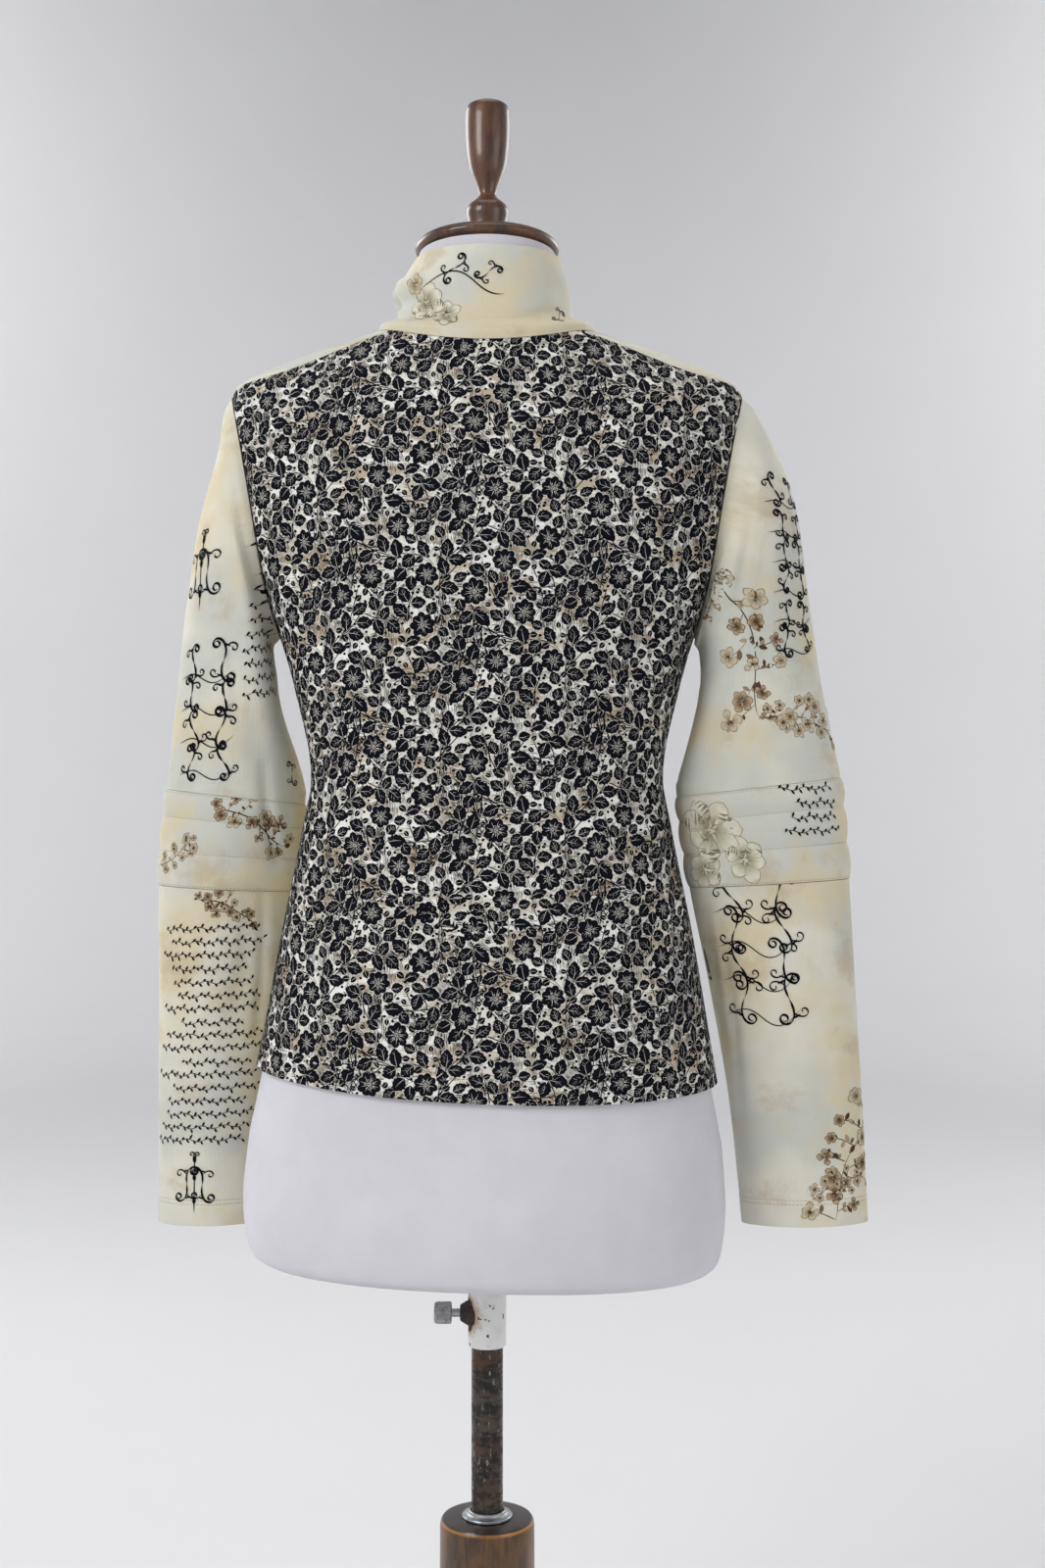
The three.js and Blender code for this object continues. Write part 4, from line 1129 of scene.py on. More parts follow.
def leaf(ink, x, y, angle, length, width, draw):
    """A ragged leaf inside a thin pale edge, with a fine middle vein and broken side veins."""
    ink.petal(*away(x, y, angle, -0.4), angle, length + 0.8, width + 0.8, PALE, 1, 0.9, steps=6)
    ink.petal(x, y, angle, length, width, INK, 2, 0.88, teeth=0.075, steps=10)
    bend = draw.uniform(-0.8, 0.8)
    vein = [
        (x + r * math.cos(angle) - off * math.sin(angle), y + r * math.sin(angle) + off * math.cos(angle))
        for r, off in ((0.8, 0), (0.42 * length, bend), (draw.uniform(0.6, 0.85) * length, 0.4 * bend))
    ]
    ink.ribbon(vein, (0.30, 0.22, 0.08), PALE, 3)
    for share, reach in ((0.22, 0.42), (0.42, 0.42), (0.60, 0.30)):
        root = away(x, y, angle, share * length)
        for side in (-1, 1):
            if draw.random() < 0.42:
                continue
            way = angle + side * draw.uniform(0.55, 0.8)
            near = away(*root, way, draw.uniform(0.08, 0.16) * width)
            ink.ribbon([near, away(*root, way, reach * width)], (0.18, 0.08), PALE, 3)


def flower(ink, x, y, radius, draw):
    """Eight ragged petals on a dark disc, split by pale lines, round a small pale heart with fine rays."""
    ink.petal(x - 0.64 * radius, y, 0, 1.28 * radius, 1.28 * radius, INK, 1.5, steps=9)
    start = draw.uniform(0, 1)
    for i in range(8):
        way = start + 2 * math.pi * i / 8 + draw.uniform(-0.08, 0.08)
        root = away(x, y, way, 0.22 * radius)
        reach = draw.uniform(0.72, 0.84)
        ink.petal(*root, way, reach * radius + 0.4, 0.64 * radius + 0.8, PALE, 1, 1.45, steps=6)
        ink.petal(*root, way, reach * radius, 0.64 * radius, INK, 2, 1.45, teeth=0.07, steps=8)
        for turn, far in ((-0.14, 0.62), (0.12, 0.74)):
            if draw.random() < 0.7:
                ray = [away(x, y, way + turn, share * radius) for share in (0.3, far)]
                ink.ribbon(ray, (0.34, 0.08), PALE, 3)
    ink.dot(x, y, radius * 0.17, PALE, 3)
    for i in range(13):
        way = 2 * math.pi * (i + draw.uniform(0.2, 0.8)) / 13
        reach = draw.uniform(0.32, 0.44)
        ray = [away(x, y, way, share * radius) for share in (0.14, reach)]
        ink.ribbon(ray, (0.14, 0.28), PALE, 4)
        ink.ribbon([(x, y), away(x, y, way, 0.18 * radius)], (0.08, 0.36), INK, 4)


def floral_tile(seed=11):
    """One repeat of the print, as line work and as leaves, which go into two meshes."""
    draw = random.Random(seed)
    lines, leaves = Print(), Print()
    taken = []

    def free(x, y, room):
        # The tiles to the left and right stand half a tile higher.
        for other_x, other_y, other_room in taken:
            for strip in (-1, 0, 1):
                gap_x = abs(x - other_x + strip * TILE_WIDE)
                if gap_x < room + other_room:
                    gap_y = abs(y - other_y + strip * TILE_HIGH / 2) % TILE_HIGH
                    if math.hypot(gap_x, min(gap_y, TILE_HIGH - gap_y)) < room + other_room:
                        return False
        return True

    def grow(length, width, x, y, angle, room):
        middle = away(x, y, angle, 0.5 * length)
        if free(*middle, room):
            taken.append((*middle, room))
            leaf(leaves, x, y, angle, length, width, draw)

    # Bark: dense short strokes up two narrow strips.
    for strip_x, low, high in ((14, 4, 72), (61, 58, 128)):
        for _ in range(150):
            x = strip_x + draw.gauss(0, 2.4)
            y = draw.uniform(low, high)
            run = draw.uniform(3, 9)
            sway = draw.uniform(-0.8, 0.8)
            stroke = [(x, y), (x + sway, y + run / 2), (x + draw.uniform(-0.5, 0.5), y + run)]
            thick = draw.uniform(0.4, 0.85)
            lines.ribbon(stroke, (0.12, thick, 0.12), INK if draw.random() < 0.62 else TAUPE, 0)
    # Flowers stand first, and the leaves fill in round them.
    for x, y in ((30, 22), (74, 38), (44, 72), (84, 100), (8, 108), (12, 60), (50, 112)):
        x, y = x + draw.uniform(-3, 3), y + draw.uniform(-3, 3)
        radius = draw.uniform(8.6, 10.6)
        taken.append((x, y, radius * 0.93))
        flower(leaves, x, y, radius, draw)
    # Sprigs: a stem with leaves in pairs.
    for _ in range(46):
        x, y = draw.uniform(0, TILE_WIDE), draw.uniform(0, TILE_HIGH)
        way = flow(x, y) + draw.uniform(-0.7, 0.7)
        stem = [(x, y)]
        for _ in range(draw.randint(2, 4)):
            way += draw.uniform(-0.35, 0.35)
            for side in (-1, 1):
                tilt = way + side * draw.uniform(0.75, 1.1)
                root = away(x, y, tilt, 1.1)
                grow(draw.uniform(11.5, 14.5), draw.uniform(8.8, 10.6), *root, tilt, 5.0)
            x, y = away(x, y, way, 9.5)
            stem.append((x, y))
        lines.ribbon(stem, [0.75] * len(stem), INK, 1)
    for _ in range(1500):
        x, y = draw.uniform(0, TILE_WIDE), draw.uniform(0, TILE_HIGH)
        grow(draw.uniform(9, 12), draw.uniform(7.2, 9), x, y, flow(x, y) + draw.uniform(-1, 1), 4.4)
    # Small leaves and berries in what is left.
    for _ in range(1100):
        x, y = draw.uniform(0, TILE_WIDE), draw.uniform(0, TILE_HIGH)
        way = draw.uniform(0, 6.28)
        length = draw.uniform(5.0, 7.0)
        middle = away(x, y, way, length / 2)
        if free(*middle, 2.7):
            taken.append((*middle, 2.7))
            leaves.petal(x, y, way, length, length * 0.72, INK, 2, 0.9, teeth=0.06)
            leaves.ribbon([(x, y), away(x, y, way, 0.75 * length)], (0.3, 0.1), PALE, 3)
    for _ in range(1600):
        x, y = draw.uniform(0, TILE_WIDE), draw.uniform(0, TILE_HIGH)
        if free(x, y, 1.6):
            taken.append((x, y, 1.6))
            leaves.petal(x - 1.3, y, draw.uniform(-0.8, 0.8), draw.uniform(2.2, 3.4), 2.1, INK, 2, steps=5)
    # Hatching: bundles of fine broken lines that run side by side wherever no leaf is.
    for _ in range(330):
        x, y = draw.uniform(0, TILE_WIDE), draw.uniform(0, TILE_HIGH)
        curl = draw.uniform(-0.04, 0.04)
        spine = []
        for step in range(draw.randint(5, 12)):
            way = flow(x, y) + curl * step
            spine.append((x, y, way))
            x, y = away(x, y, way, 1.9)
        tone = TAUPE if draw.random() < 0.18 else INK
        for rank in range(4):
            aside = (rank - 1.5) * 0.95 + draw.uniform(-0.15, 0.15)
            thick = draw.uniform(0.26, 0.50)
            runs = [[]]
            for px, py, way in spine:
                spot = (px - aside * math.sin(way), py + aside * math.cos(way))
                if free(*spot, -0.6) and draw.random() < 0.86:
                    runs[-1].append(spot)
                else:
                    runs.append([])
            for run in runs:
                if len(run) > 1:
                    widths = [thick * (0.5 if i in (0, len(run) - 1) else 1) for i in range(len(run))]
                    lines.ribbon(run, widths, tone, 0)
    return lines, leaves


tiles = [
    (column * TILE_WIDE, row * TILE_HIGH + (TILE_HIGH / 2 if column % 2 else 0))
    for column in range(-4, 4)
    for row in range(4, 11)
]
back_prints = [
    ink.lay(name, panels["back"], ink_material, "floral_jersey", tiles)
    for name, ink in zip(("back_print_lines", "back_print_leaves"), floral_tile())
]


# Sleeve, collar and front prints
# The cream cloth carries three kinds of ornament: black pen scrolls, rows of tiny dark vine, and sprays of
# sepia and olive blossom. They are printed on each piece before it is sewn. Places are on the flat piece,
# with its height above the floor as the second number. Each blossom's tones run from its heart outwards.
NIB = 0.9
UMBER = (0.085, 0.048, 0.026)
VINE_INK = (0.012, 0.010, 0.010)
VINE_STEP = 1.6
UPRIGHT = 1.57
SEPIA = [
    (0.10, 0.056, 0.030), (0.20, 0.125, 0.070), (0.33, 0.235, 0.140), (0.46, 0.36, 0.235), (0.50, 0.41, 0.28),
]
TAN = [(0.26, 0.18, 0.10), (0.40, 0.31, 0.20), (0.53, 0.45, 0.31), (0.60, 0.53, 0.38), (0.50, 0.42, 0.28)]
OLIVE = [
    (0.24, 0.215, 0.13), (0.42, 0.39, 0.27), (0.62, 0.59, 0.46), (0.74, 0.71, 0.57), (0.56, 0.52, 0.38),
]


def walk(x, y, heading, moves, step=1.3):
    """A line walked over the cloth. Each move is a length, with its turning per millimetre at both ends."""
    line = [(x, y)]
    for length, first, last in moves:
        count = max(4, int(length / step))
        for i in range(count):
            heading += (first + (last - first) * (i + 0.5) / count) * length / count
            x += math.cos(heading) * length / count
            y += math.sin(heading) * length / count
            line.append((x, y))
    return line


def pen(ink, line, width, tone=INK, layer=4):
    """A stroke of a broad nib, thick across the nib's angle and thin along it."""
    along = np.gradient(np.array(line), axis=0)
    slope = np.arctan2(along[:, 1], along[:, 0])
    share = np.linspace(0, 1, len(line))
    ends = np.minimum(1, 8 * np.minimum(share, 1 - share) + 0.12)
    ink.ribbon(line, width * (0.34 + 0.66 * np.abs(np.sin(slope - NIB))) * ends, tone, layer)


def flourish(ink, x, y, heading, size, hand, width=1.5):
    """An S-shaped scroll: its two arms wind into open spirals, and each carries a curl and a thin drop."""
    for way in (heading, heading + math.pi):
        arm = [(1.0 * size, 0, hand * 1.6 / size), (1.7 * size, hand * 1.8 / size, hand * 7.5 / size)]
        line = walk(x, y, way, arm)
        pen(ink, line, width)
        root = line[len(line) // 4]
        bend = -hand / size
        curl = [(0.6 * size, 0.5 * bend, 3 * bend), (0.8 * size, 3.5 * bend, 9 * bend)]
        pen(ink, walk(*root, way - hand * 0.5, curl), 0.7 * width)
        ink.petal(*line[len(line) // 3], way - hand * 1.7, 0.42 * size, 0.10 * size, INK, 4, 0.7)


def scrollwork(ink, x, y, wide, high, draw):
    """Pairs of big scrolls that turn away from each other, with thin pen lines that wave through them."""
    pairs = max(2, round(high / max(24, 0.42 * wide)))
    for i in range(pairs):
        row = y + high * (0.5 - (i + 0.5) / pairs)
        for side in (-1, 1):
            place = x + side * wide * 0.24 + draw.uniform(-0.04, 0.04) * wide
            tilt = math.pi / 2 - side * draw.uniform(0.2, 0.8) * (-1) ** i
            size = draw.uniform(0.20, 0.26) * wide
            middle = (place, row + draw.uniform(-3, 3))
            flourish(ink, *middle, tilt, size, side * (-1) ** i, draw.uniform(1.7, 2.3))
        sweep = [(wide * 0.3, 0.05, -0.09), (wide * 0.35, -0.09, 0.10), (wide * 0.35, 0.10, -0.03)]
        pen(ink, walk(x - wide / 2, row - 0.2 * wide, 0.2, sweep), 0.9)


def cartouche(ink, x, y, high):
    """Two scrolls back to back round a stem, with curls at its head and foot."""
    for side in (-1, 1):
        flourish(ink, x + side * high * 0.13, y, UPRIGHT - side * 0.12, high * 0.26, side, 1.9)
        bend = side / high
        tip = [(0.2 * high, 1.5 * bend, 22 * bend), (0.1 * high, 30 * bend, 60 * bend)]
        pen(ink, walk(x, y + high * 0.38, UPRIGHT - side * 0.5, tip), 1.3)
    pen(ink, walk(x, y - high * 0.45, UPRIGHT, [(high * 0.9, 0, 0)]), 1.2)
    for share in (-0.32, 0.05, 0.34):
        ink.petal(x, y + share * high, UPRIGHT, high * 0.12, high * 0.06, INK, 4.5)


def vine_row(ink, x, y, length, draw, slope=0.04):
    """A thin running vine that waves along a row, with pointed leaves to both sides of it."""
    steps = int(length / VINE_STEP)
    phase = draw.uniform(0, 6)
    stem = [
        (x + VINE_STEP * i, y + slope * VINE_STEP * i + 1.2 * math.sin(0.55 * i + phase))
        for i in range(steps)
    ]
    pen(ink, stem, 0.62, VINE_INK)
    for i in range(1, steps - 1, 2):
        way = (1 if i % 4 == 1 else -1) * draw.uniform(0.7, 1.2)
        ink.petal(*stem[i], way, draw.uniform(2.8, 4.6), 1.7, VINE_INK, 4, steps=6)


def vines(ink, x, top, wide, rows, draw, pitch=10.5):
    for row in range(rows):
        indent = draw.uniform(0, 0.28) * wide
        vine_row(ink, x + indent, top - row * pitch, wide - indent - draw.uniform(0, 0.2) * wide, draw)


def blossom(ink, x, y, radius, draw, tones, petals=6):
    """An open flower of shaded petals, each a little higher than the last."""
    start = draw.uniform(0, 6)
    for i in range(petals):
        way = start + 2 * math.pi * i / petals + draw.uniform(-0.25, 0.25)
        length = radius * draw.uniform(0.75, 1.1)
        width = radius * draw.uniform(0.62, 0.85)
        root = away(x, y, way, 0.12 * radius)
        height = 0.6 + 0.45 * i
        edge = tuple(0.55 * c for c in tones[1])
        ink.petal(*root, way, length + 0.5, width + 0.7, edge, height, 1.3, teeth=0.05, steps=8)
        blend = [
            tuple(np.interp(t * 4, range(5), [tone[band] for tone in tones]).item() for band in range(3))
            for t in np.linspace(0, 1, 8)
        ]
        ink.petal(*root, way, length, width, blend, height + 0.25, 1.3, teeth=0.05, steps=8)
        vein = [away(*root, way, share * length) for share in (0.1, 0.4, 0.7)]
        ink.ribbon(vein, (0.5, 0.3, 0.1), tones[0], height + 0.5)
    for _ in range(7):
        way, reach = draw.uniform(0, 6.28), radius * draw.uniform(0.05, 0.22)
        ink.dot(*away(x, y, way, reach), 0.5, UMBER, 4.2)


def spray(ink, x, y, heading, size, draw, tones=SEPIA):
    """A curved stem with blossoms, buds and leaves on thin side stems."""
    bend = draw.choice((-1, 1)) / size
    moves = [(0.5 * size, 0.6 * bend, -1.8 * bend), (0.5 * size, -1.8 * bend, 2.4 * bend)]
    stem = walk(x, y, heading, moves)
    pen(ink, stem, 1.0, UMBER, 0)
    side = 1
    for step in range(13):
        place = stem[int(step / 12 * (len(stem) - 1))]
        way = heading + side * draw.uniform(0.4, 1.5)
        twig = walk(*place, way, [(draw.uniform(0.05, 0.27) * size, side * -2 / size, side * 6 / size)])
        pen(ink, twig, 0.8, UMBER, 0)
        shades = tones if draw.random() < 0.6 else TAN
        blossom(ink, *twig[-1], draw.uniform(0.045, 0.088) * size, draw, shades, draw.randint(4, 6))
        for _ in range(5):
            spot = twig[draw.randint(0, len(twig) - 1)]
            length = draw.uniform(0.035, 0.085) * size
            shade = draw.choice((*tones[:3], UMBER, TAN[1]))
            turn = way + draw.uniform(-1.8, 1.8)
            ink.petal(*spot, turn, length, length * 0.5, shade, 0.4, teeth=0.08)
        side = -side


prints = {name: Print() for name in panels if name != "back"}
draw = random.Random(5)
ink = prints["sleeve_upper_right"]
scrollwork(ink, 34, 1062, 42, 132, draw)
spray(ink, -20, 1050, -1.15, 104, draw)
spray(ink, 0, 948, 0.1, 66, draw, TAN)
spray(ink, 128, 1010, -1.4, 90, draw)
ink = prints["elbow_band_right"]
blossom(ink, -44, 856, 21, draw, OLIVE, 7)
blossom(ink, -20, 834, 16, draw, OLIVE, 6)
blossom(ink, -52, 826, 14, draw, OLIVE, 6)
vines(ink, 6, 886, 62, 4, draw)
vines(ink, 96, 880, 80, 5, draw)
ink = prints["sleeve_lower_right"]
scrollwork(ink, -16, 766, 68, 104, draw)
spray(ink, 22, 556, 1.35, 92, draw)
spray(ink, 4, 572, 0.6, 52, draw, TAN)
vines(ink, 84, 760, 78, 9, draw)
ink = prints["sleeve_upper_left"]
cartouche(ink, -26, 1056, 60)
vines(ink, 2, 1080, 54, 12, draw)
scrollwork(ink, -18, 952, 54, 96, draw)
flourish(ink, 52, 906, 1.3, 8, 1, 1.2)
spray(ink, -128, 1040, -1.4, 90, draw)
ink = prints["elbow_band_left"]
spray(ink, -10, 872, -0.25, 66, draw)
spray(ink, -60, 828, 0.3, 40, draw, TAN)
flourish(ink, -118, 850, 0.6, 12, -1, 1.6)
ink = prints["sleeve_lower_left"]
spray(ink, -18, 800, -0.1, 46, draw)
vines(ink, -52, 776, 98, 17, draw)
cartouche(ink, -12, 574, 50)
scrollwork(ink, -112, 700, 44, 90, draw)
ink = prints["collar"]
flourish(ink, -24, 1280, 0.35, 11, 1, 1.9)
flourish(ink, 2, 1276, 0.9, 9, -1, 1.7)
pen(ink, walk(-52, 1268, 0.4, [(34, 0.02, -0.06), (40, -0.06, 0.09)]), 1.1)
flourish(ink, 62, 1246, 1.2, 8, -1, 1.3)
blossom(ink, -48, 1256, 15, draw, OLIVE, 7)
blossom(ink, -30, 1244, 11, draw, OLIVE, 6)
blossom(ink, -60, 1272, 9, draw, TAN, 5)
ink = prints["front_right"]
spray(ink, -140, 700, 1.25, 120, draw)
spray(ink, -96, 1120, -1.9, 86, draw, TAN)
vines(ink, -150, 985, 104, 8, draw)
ink = prints["front_left"]
scrollwork(ink, 92, 1010, 70, 96, draw)
spray(ink, 150, 700, 1.9, 120, draw)
vines(ink, 40, 860, 96, 8, draw)
for name, ink in prints.items():
    pieces[name + "_print"] = ink.lay(name + "_print", panels[name], ink_material, "cream_jersey")


# Zip
# A moulded zip joins the fronts from the hem to the collar's top. Its woven tape lies behind their edges,
# and its two rows of teeth are moulded onto the tape, with a box at their foot and a stop at their head.
TAPE_HALF = 7.0
TAPE_WALL = 0.8
TOOTH_PITCH = 2.5

tape_across = np.linspace(TAPE_HALF, -TAPE_HALF, 9)


def centre_front(surface, at, depth):
    turn = np.full_like(at, math.pi / 2)
    return surface(turn, at) - normals(surface, turn, at) * depth


middle_line = np.concatenate([
    centre_front(body_cloth, BODY_ROWS, 1.0),
    centre_front(collar_surface, np.linspace(0.1, 6, 40), 1.8),
])
tape_points = np.repeat(middle_line[:, None], len(tape_across), axis=1)
tape_points[..., 0] = tape_across
panels["zip_tape"] = Panel(tape_points, 4)
tape_material, place = new_material("zip_tape", roughness=0.8, specular=0.2)
flat = flat_place(place)
twill = flat.node("TexWave", {"bands_direction": "DIAGONAL"}, {"Vector": flat, "Scale": 420.0})
shade = (twill * 0.5 + flat.noise(300) * 0.5).mix((0.60, 0.56, 0.44), (0.50, 0.46, 0.35))
paint(tape_material, base_color=shade, normal=place.bump(twill, 0.0002, 0.6))
panels["zip_tape"].build("zip_tape", tape_material, "zip_tape", "zip", TAPE_WALL)

# A tooth as rings of corners from its foot to its top: across, along and off the tape.
TOOTH = [
    [(-0.6, -0.55, 0), (2.7, -0.75, 0), (2.7, 0.75, 0), (-0.6, 0.55, 0)],
    [(-0.6, -0.55, 1.3), (2.7, -0.75, 1.3), (2.7, 0.75, 1.3), (-0.6, 0.55, 1.3)],
    [(-0.35, -0.3, 1.7), (2.4, -0.5, 1.7), (2.4, 0.5, 1.7), (-0.35, 0.3, 1.7)],
]
BLOCK = [[(x, y, z) for x, y in ((-1, -1), (1, -1), (1, 1), (-1, 1))] for z in (0, 1)]


def zip_blocks(name, blocks):
    """Small moulded blocks on the tape, from each one's rings, height up the zip, side and size."""
    lengths = np.concatenate([[0], np.cumsum(np.linalg.norm(np.diff(middle_line, axis=0), axis=1))])
    points, faces = [], []
    for rings, height, side, size in blocks:
        centre = np.array([np.interp(height, lengths, middle_line[:, axis]) for axis in range(3)])
        ahead = np.array([np.interp(height + 1, lengths, middle_line[:, axis]) for axis in range(3)])
        up = (ahead - centre) / np.linalg.norm(ahead - centre)
        out = np.cross([-1, 0, 0], up)
        start = len(points)
        for ring in rings:
            for x, y, z in ring:
                scaled = np.array([side * x * size[0], y * size[1], z * size[2]])
                points.append(centre + scaled @ np.array([[1, 0, 0], up, out]))
        count = 4 * len(rings)
        quads = grid_faces(len(rings), 4, closed=True)
        quads += [(3, 2, 1, 0), (count - 4, count - 3, count - 2, count - 1)]
        # Seen from outside, x times up is inwards, so the left row keeps its order and the right row turns.
        faces += [tuple(start + k for k in (quad if side < 0 else quad[::-1])) for quad in quads]
    return mesh_piece(name, points, faces)


zip_length = np.linalg.norm(np.diff(middle_line, axis=0), axis=1).sum()
teeth = [
    (TOOTH, height, side, (1, 1, 1))
    for side, first in ((1, 9.0), (-1, 9.0 + TOOTH_PITCH / 2))
    for height in np.arange(first, zip_length - 6, TOOTH_PITCH)
]
teeth += [(BLOCK, 4.5, 1, (3.4, 4.2, 2.2)), (BLOCK, zip_length - 3.6, 1, (2.6, 1.6, 1.9))]
tooth_material, place = new_material("zip_teeth", coat_weight=0.2, coat_roughness=0.3)
scuff = place.noise(700, 3)
shade = scuff.mix((0.52, 0.47, 0.34), (0.44, 0.39, 0.28))
paint(tooth_material, base_color=shade, roughness=0.32 + scuff * 0.2)
finish(zip_blocks("zip_teeth", teeth), tooth_material, "form", angle=25)

# Slider and pull
# The slider is cast zinc, plated, with two cheeks that hold the pull's pin. The pull is a pressed steel tab
# with a rolled knuckle round the pin and a grip hole near its tip.
PIN = (0, 0.0735485, 1.2681175)
SLIDER_LEAN = 0.1118
KNUCKLE_STRETCH = 5.2
SLIDER_BLOCKS = [
    ((9, 2.2, 13), (0, -4.7, -1), 0.9),
    ((7.4, 0.9, 11), (0, -3.4, -1), 0.4),
    ((1.1, 4.8, 3.6), (-3.25, -1.4, 0), 0.5),
    ((1.1, 4.8, 3.6), (3.25, -1.4, 0), 0.5),
]


def joined(name, parts):
    activate(parts[0])
    for part in parts:
        part.select_set(True)
    bpy.ops.object.join()
    parts[0].name = name
    return parts[0]


def block(size, place, bevel):
    """A block with rounded edges, from its size and middle in millimetres."""
    bpy.ops.object.select_all(action="DESELECT")
    bpy.ops.mesh.primitive_cube_add(size=0.001, location=[0.001 * c for c in place])
    piece = bpy.context.object
    piece.scale = size
    place_in_mesh(piece)
    modify(piece, "BEVEL", width=bevel * 0.001, segments=3)
    return piece


def rod(radius, length, place, sides=32, bevel=0.0):
    """A rod along X, from its radius, length and middle in millimetres."""
    bpy.ops.object.select_all(action="DESELECT")
    bpy.ops.mesh.primitive_cylinder_add(
        vertices=sides, radius=radius * 0.001, depth=length * 0.001, location=[0.001 * c for c in place],
        rotation=(0, math.pi / 2, 0),
    )
    piece = bpy.context.object
    place_in_mesh(piece)
    if bevel:
        modify(piece, "BEVEL", width=bevel * 0.001, segments=3)
    return piece


pin = rod(0.75, 6.6, (0, 0, 0), 20, 0.2)
slider = joined("slider", [block(*numbers) for numbers in SLIDER_BLOCKS] + [pin])
slider.location = PIN
slider.rotation_euler = (SLIDER_LEAN, 0, 0)
place_in_mesh(slider)

tab = block((4.8, 1.4, 25.4), (0, 0, -14.3), 0.45)
hole = rod(1.25, 4, (0, 0, -23.5), 24)
hole.rotation_euler = (0, 0, math.pi / 2)
place_in_mesh(hole)
modify(tab, "BOOLEAN", operation="DIFFERENCE", object=hole)
bpy.data.objects.remove(hole)
bpy.ops.object.select_all(action="DESELECT")
bpy.ops.mesh.primitive_torus_add(
    major_radius=0.00150, minor_radius=0.00045, major_segments=28, minor_segments=8,
    rotation=(0, math.pi / 2, 0),
)
knuckle = bpy.context.object
knuckle.scale = (1, 1, KNUCKLE_STRETCH)
place_in_mesh(knuckle)
tab = joined("pull", [tab, knuckle])
tab.location = PIN
place_in_mesh(tab)
finish(slider, bright, "form", "zip_slider", 40)
finish(tab, bright, "pull", "pull_tab", 40)

# Socket and clamp screw
# A steel tube, painted white and chipped, is let into the form's foot and slides on the pole. A welded boss
# on its left side takes a thumb screw with a knurled steel head.
SOCKET = [
    (12.9, 560), (12.9, 455.7), (13.3, 455), (14.3, 455), (14.8, 455.7), (14.8, 474), (14.8, 560),
    (12.9, 560),
]
BOSS = [(11.5, 8), (11.5, 9.5), (11.0, 12), (9.6, 15), (8.2, 17.5), (6.4, 20.4), (5.6, 21), (2.0, 21)]
SCREW_SHAFT = [(3.2, 20.6), (3.2, 27.6)]
SCREW_HEIGHT = 0.480
BOSS_MIDDLE = (-0.0165, 0, SCREW_HEIGHT)
white_paint, place = new_material("white_paint", coat_weight=0.3, coat_roughness=0.25)
flakes = place.noise(170, 5, 0.65)
from_boss = place.node("VectorMath", {"operation": "DISTANCE"}, {0: place, 1: BOSS_MIDDLE}, out=1)
near_boss = 1 - (from_boss + (flakes - 0.5) * 0.010).above(0.0125, 0.0150)
halo = 1 - (from_boss + (flakes - 0.5) * 0.014).above(0.0138, 0.0215)
chips = (flakes + near_boss * 0.5).above(0.625, 0.655)
rust = place.noise(420, 4, 0.7)
metal = rust.above(0.35, 0.65).mix((0.060, 0.034, 0.020), (0.014, 0.011, 0.010))
dirt = place.noise(60, 4, 0.6).above(0.42, 0.72)
painted = (dirt * 0.5).mix((0.78, 0.78, 0.76), (0.60, 0.585, 0.55))
painted = (halo * 0.85).mix(painted, (0.40, 0.24, 0.09))
shade = chips.mix(painted, metal)
paint(
    white_paint,
    base_color=shade,
    roughness=0.28 + chips * 0.45 + dirt * 0.12,
    coat_weight=0.3 - chips * 0.3,
    normal=place.bump(1 - chips * 0.9 + rust * 0.15, 0.0004, 0.8),
)
socket = turned("socket_tube", millimetres(SOCKET), 64, fill="NOTHING")
boss = turned("socket_boss", millimetres(BOSS), 48)
shaft = turned("screw_shaft", millimetres(SCREW_SHAFT), 24)
for piece in (boss, shaft):
    piece.rotation_euler = (0, -math.pi / 2, 0)
    piece.location = (0, 0, SCREW_HEIGHT)
    place_in_mesh(piece)
finish(socket, white_paint, "form", "socket", 40)
finish(boss, white_paint, "form", angle=40)

# The screw's head has a fine straight knurl and a dished end. Each ring has its radius, its distance from
# the pole's axis, and 1 where the knurl runs.
KNOB = [
    (3.0, 27.5, 0), (7.6, 27.5, 0), (8.3, 28.2, 0), (8.4, 28.8, 1), (8.4, 38.8, 1), (8.3, 39.6, 0),
    (7.4, 41, 0), (5.6, 41, 0), (5.0, 40.2, 0), (0.8, 40.0, 0),
]
KNOB_SIDES = 96
KNURL_DEPTH = 0.42
angles = np.linspace(0, 2 * math.pi, KNOB_SIDES + 1)[:-1]
knurl = np.where(np.arange(KNOB_SIDES) % 2, KNURL_DEPTH, 0.0)
knob_rings = []
for radius, along, knurled in KNOB:
    reach = radius - knurled * knurl
    height = SCREW_HEIGHT * 1000 + reach * np.sin(angles)
    knob_rings.append(np.column_stack([np.full(KNOB_SIDES, -along), reach * np.cos(angles), height]))
faces = [tuple(reversed(face)) for face in grid_faces(len(KNOB), KNOB_SIDES, closed=True)]
faces.append(tuple(range(KNOB_SIDES)))
faces.append(tuple(reversed(range((len(KNOB) - 1) * KNOB_SIDES, len(KNOB) * KNOB_SIDES))))
knob = mesh_piece("screw_knob", np.concatenate(knob_rings), faces)
finish(knob, bright, "form", "clamp_screw", 25)
finish(shaft, bright, "form", angle=25)


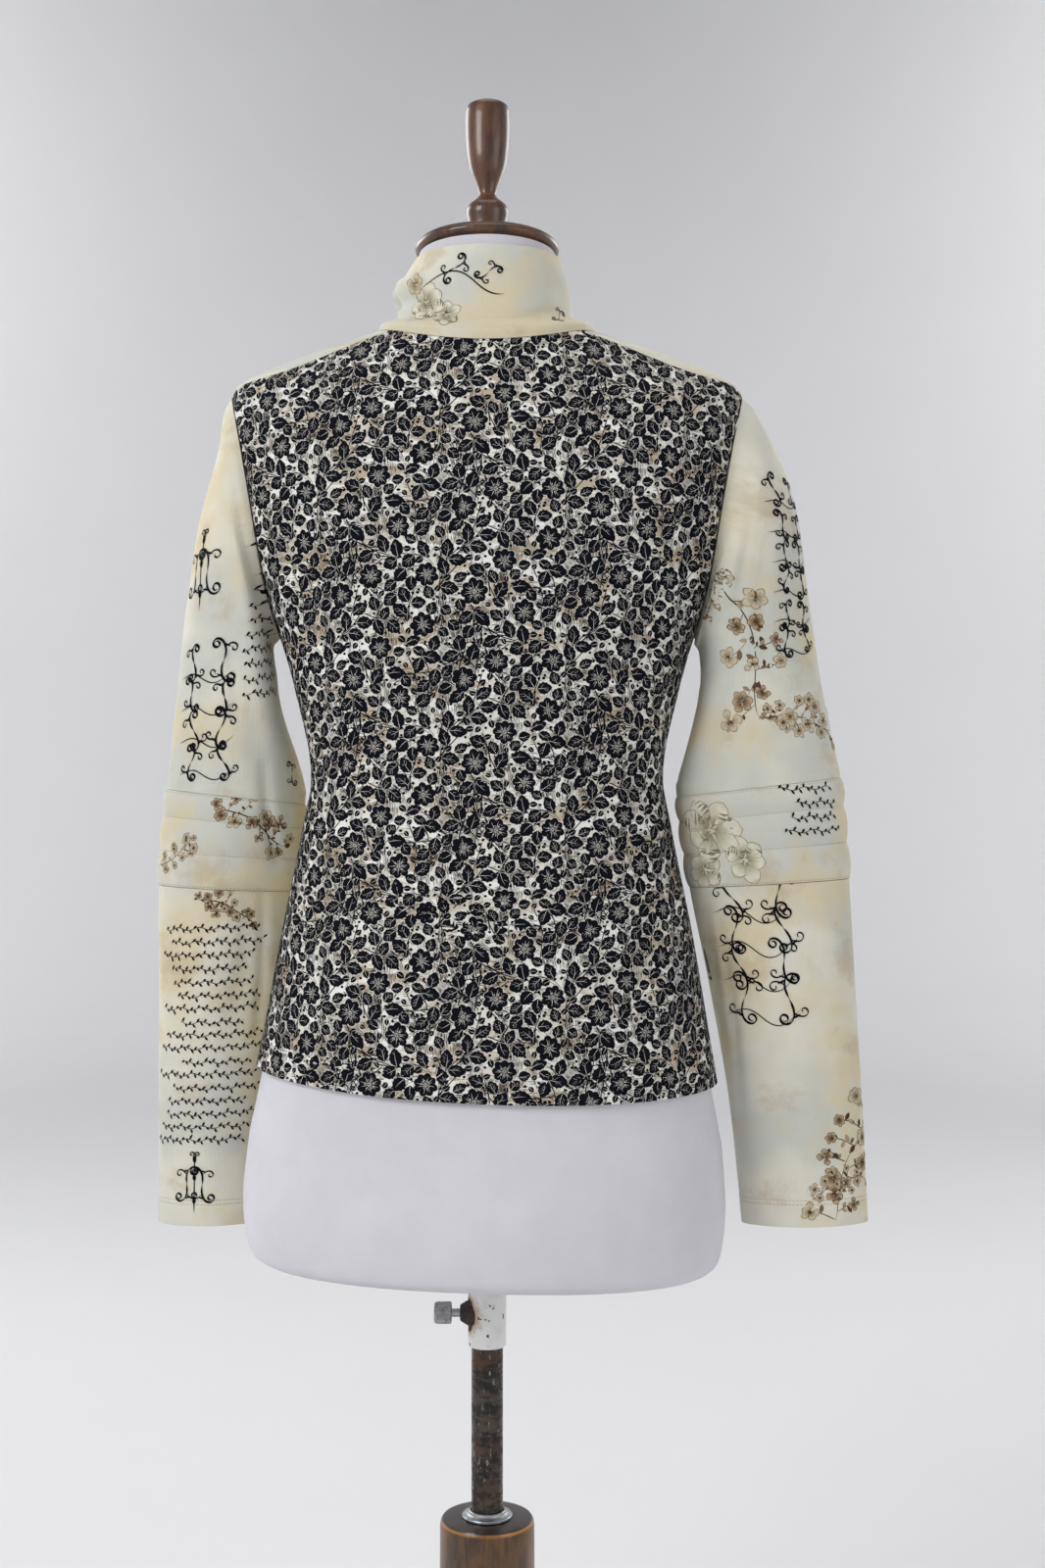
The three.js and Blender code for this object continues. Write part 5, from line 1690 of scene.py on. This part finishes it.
# Stitching
# Two rows of thread hold each hem, dark on the back and cream elsewhere. One row runs up each front and each
# end of the collar beside the zip. The elbow bands are stitched through in two rows, with one more along each
# edge. Each stitch is its own small mound.
THREAD = (0.46, 0.42, 0.31)
DARK_THREAD = (0.20, 0.17, 0.13)
STITCH, STITCH_PITCH, STITCH_WIDTH = 2.3, 3.0, 0.62
STITCH_LAYERS = ([-0.9, -0.9, -0.9], [-0.2, 2.6, -0.2])
ZIP_ROW = 6
BAND_EDGE = 1.5
BAND_ROWS = (15, 30)

thread_material, place = new_material("thread", roughness=0.55, specular=0.3)
thread_ink = place.node("VertexColor", {"layer_name": "Ink"})
paint(thread_material, base_color=thread_ink, normal=place.bump(place.noise(2500), 0.0001, 0.6))


def sew(ink, line, tone):
    """Stitches end to end along a flat line."""
    line = np.array(line, float)
    steps = np.linalg.norm(np.diff(line, axis=0), axis=1)
    lengths = np.concatenate([[0], np.cumsum(steps)])
    for start in np.arange(0.5 * STITCH_PITCH, lengths[-1] - STITCH, STITCH_PITCH):
        run = start + STITCH * np.array([0, 0.5, 1])
        x, y = (np.interp(run, lengths, line[:, axis]) for axis in (0, 1))
        along = np.array([x[2] - x[0], y[2] - y[0]])
        aside = np.array([-along[1], along[0]]) / max(np.hypot(*along), 1e-6) * STITCH_WIDTH / 2
        middle = np.column_stack([x, y])
        edge, crest = STITCH_LAYERS
        reach = aside * np.array([[0.5], [1], [0.5]])
        ink.band(middle + reach, middle, tone, edge + crest)
        ink.band(middle, middle - reach, tone, crest + edge)


rows_of = {name: [] for name in panels if name in pieces}
for name in ("back", "front_right", "front_left"):
    rows_of[name] += [panels[name].level(row) for row in HEM_ROWS]
rows_of["front_right"].append(panels["front_right"].beside(ZIP_ROW, first=False))
rows_of["front_left"].append(panels["front_left"].beside(ZIP_ROW))
for side in ("right", "left"):
    lower, band = panels["sleeve_lower_" + side], panels["elbow_band_" + side]
    rows_of["sleeve_lower_" + side] = [lower.level(row, foot=False) for row in HEM_ROWS]
    edges = [band.level(BAND_EDGE), band.level(BAND_EDGE, foot=False)]
    rows_of["elbow_band_" + side] = [band.flat[row] for row in BAND_ROWS] + edges
for edge in (True, False):
    rows_of["collar"].append(panels["collar"].beside(ZIP_ROW, first=edge))
for name, rows in rows_of.items():
    if rows:
        ink = Print()
        for row in rows:
            sew(ink, row, DARK_THREAD if name == "back" else THREAD)
        slot = "floral_jersey" if name == "back" else "cream_jersey"
        pieces[name + "_stitches"] = ink.lay(name + "_stitches", panels[name], thread_material, slot)

# Sheets
# Each sewn piece is gathered with the piece that holds it and the prints and stitches that lie on it, and
# these go to its panel's declare, which does nothing with them. The holder is the form for the body and
# collar, and the piece above it for each length of a sleeve.
HANGS_FROM = {"sleeve_upper": "front", "elbow_band": "sleeve_upper", "sleeve_lower": "elbow_band"}
for name in rows_of:
    part, _, side = name.rpartition("_")
    holder = "jacket_" + HANGS_FROM[part] + "_" + side if part in HANGS_FROM else "form_cover"
    on_it = [pieces[name + end] for end in ("_print", "_stitches") if name + end in pieces]
    if name == "back":
        on_it += back_prints
    panels[name].declare(pieces[name], "stretched" if name == "collar" else "hung", holder, on_it)
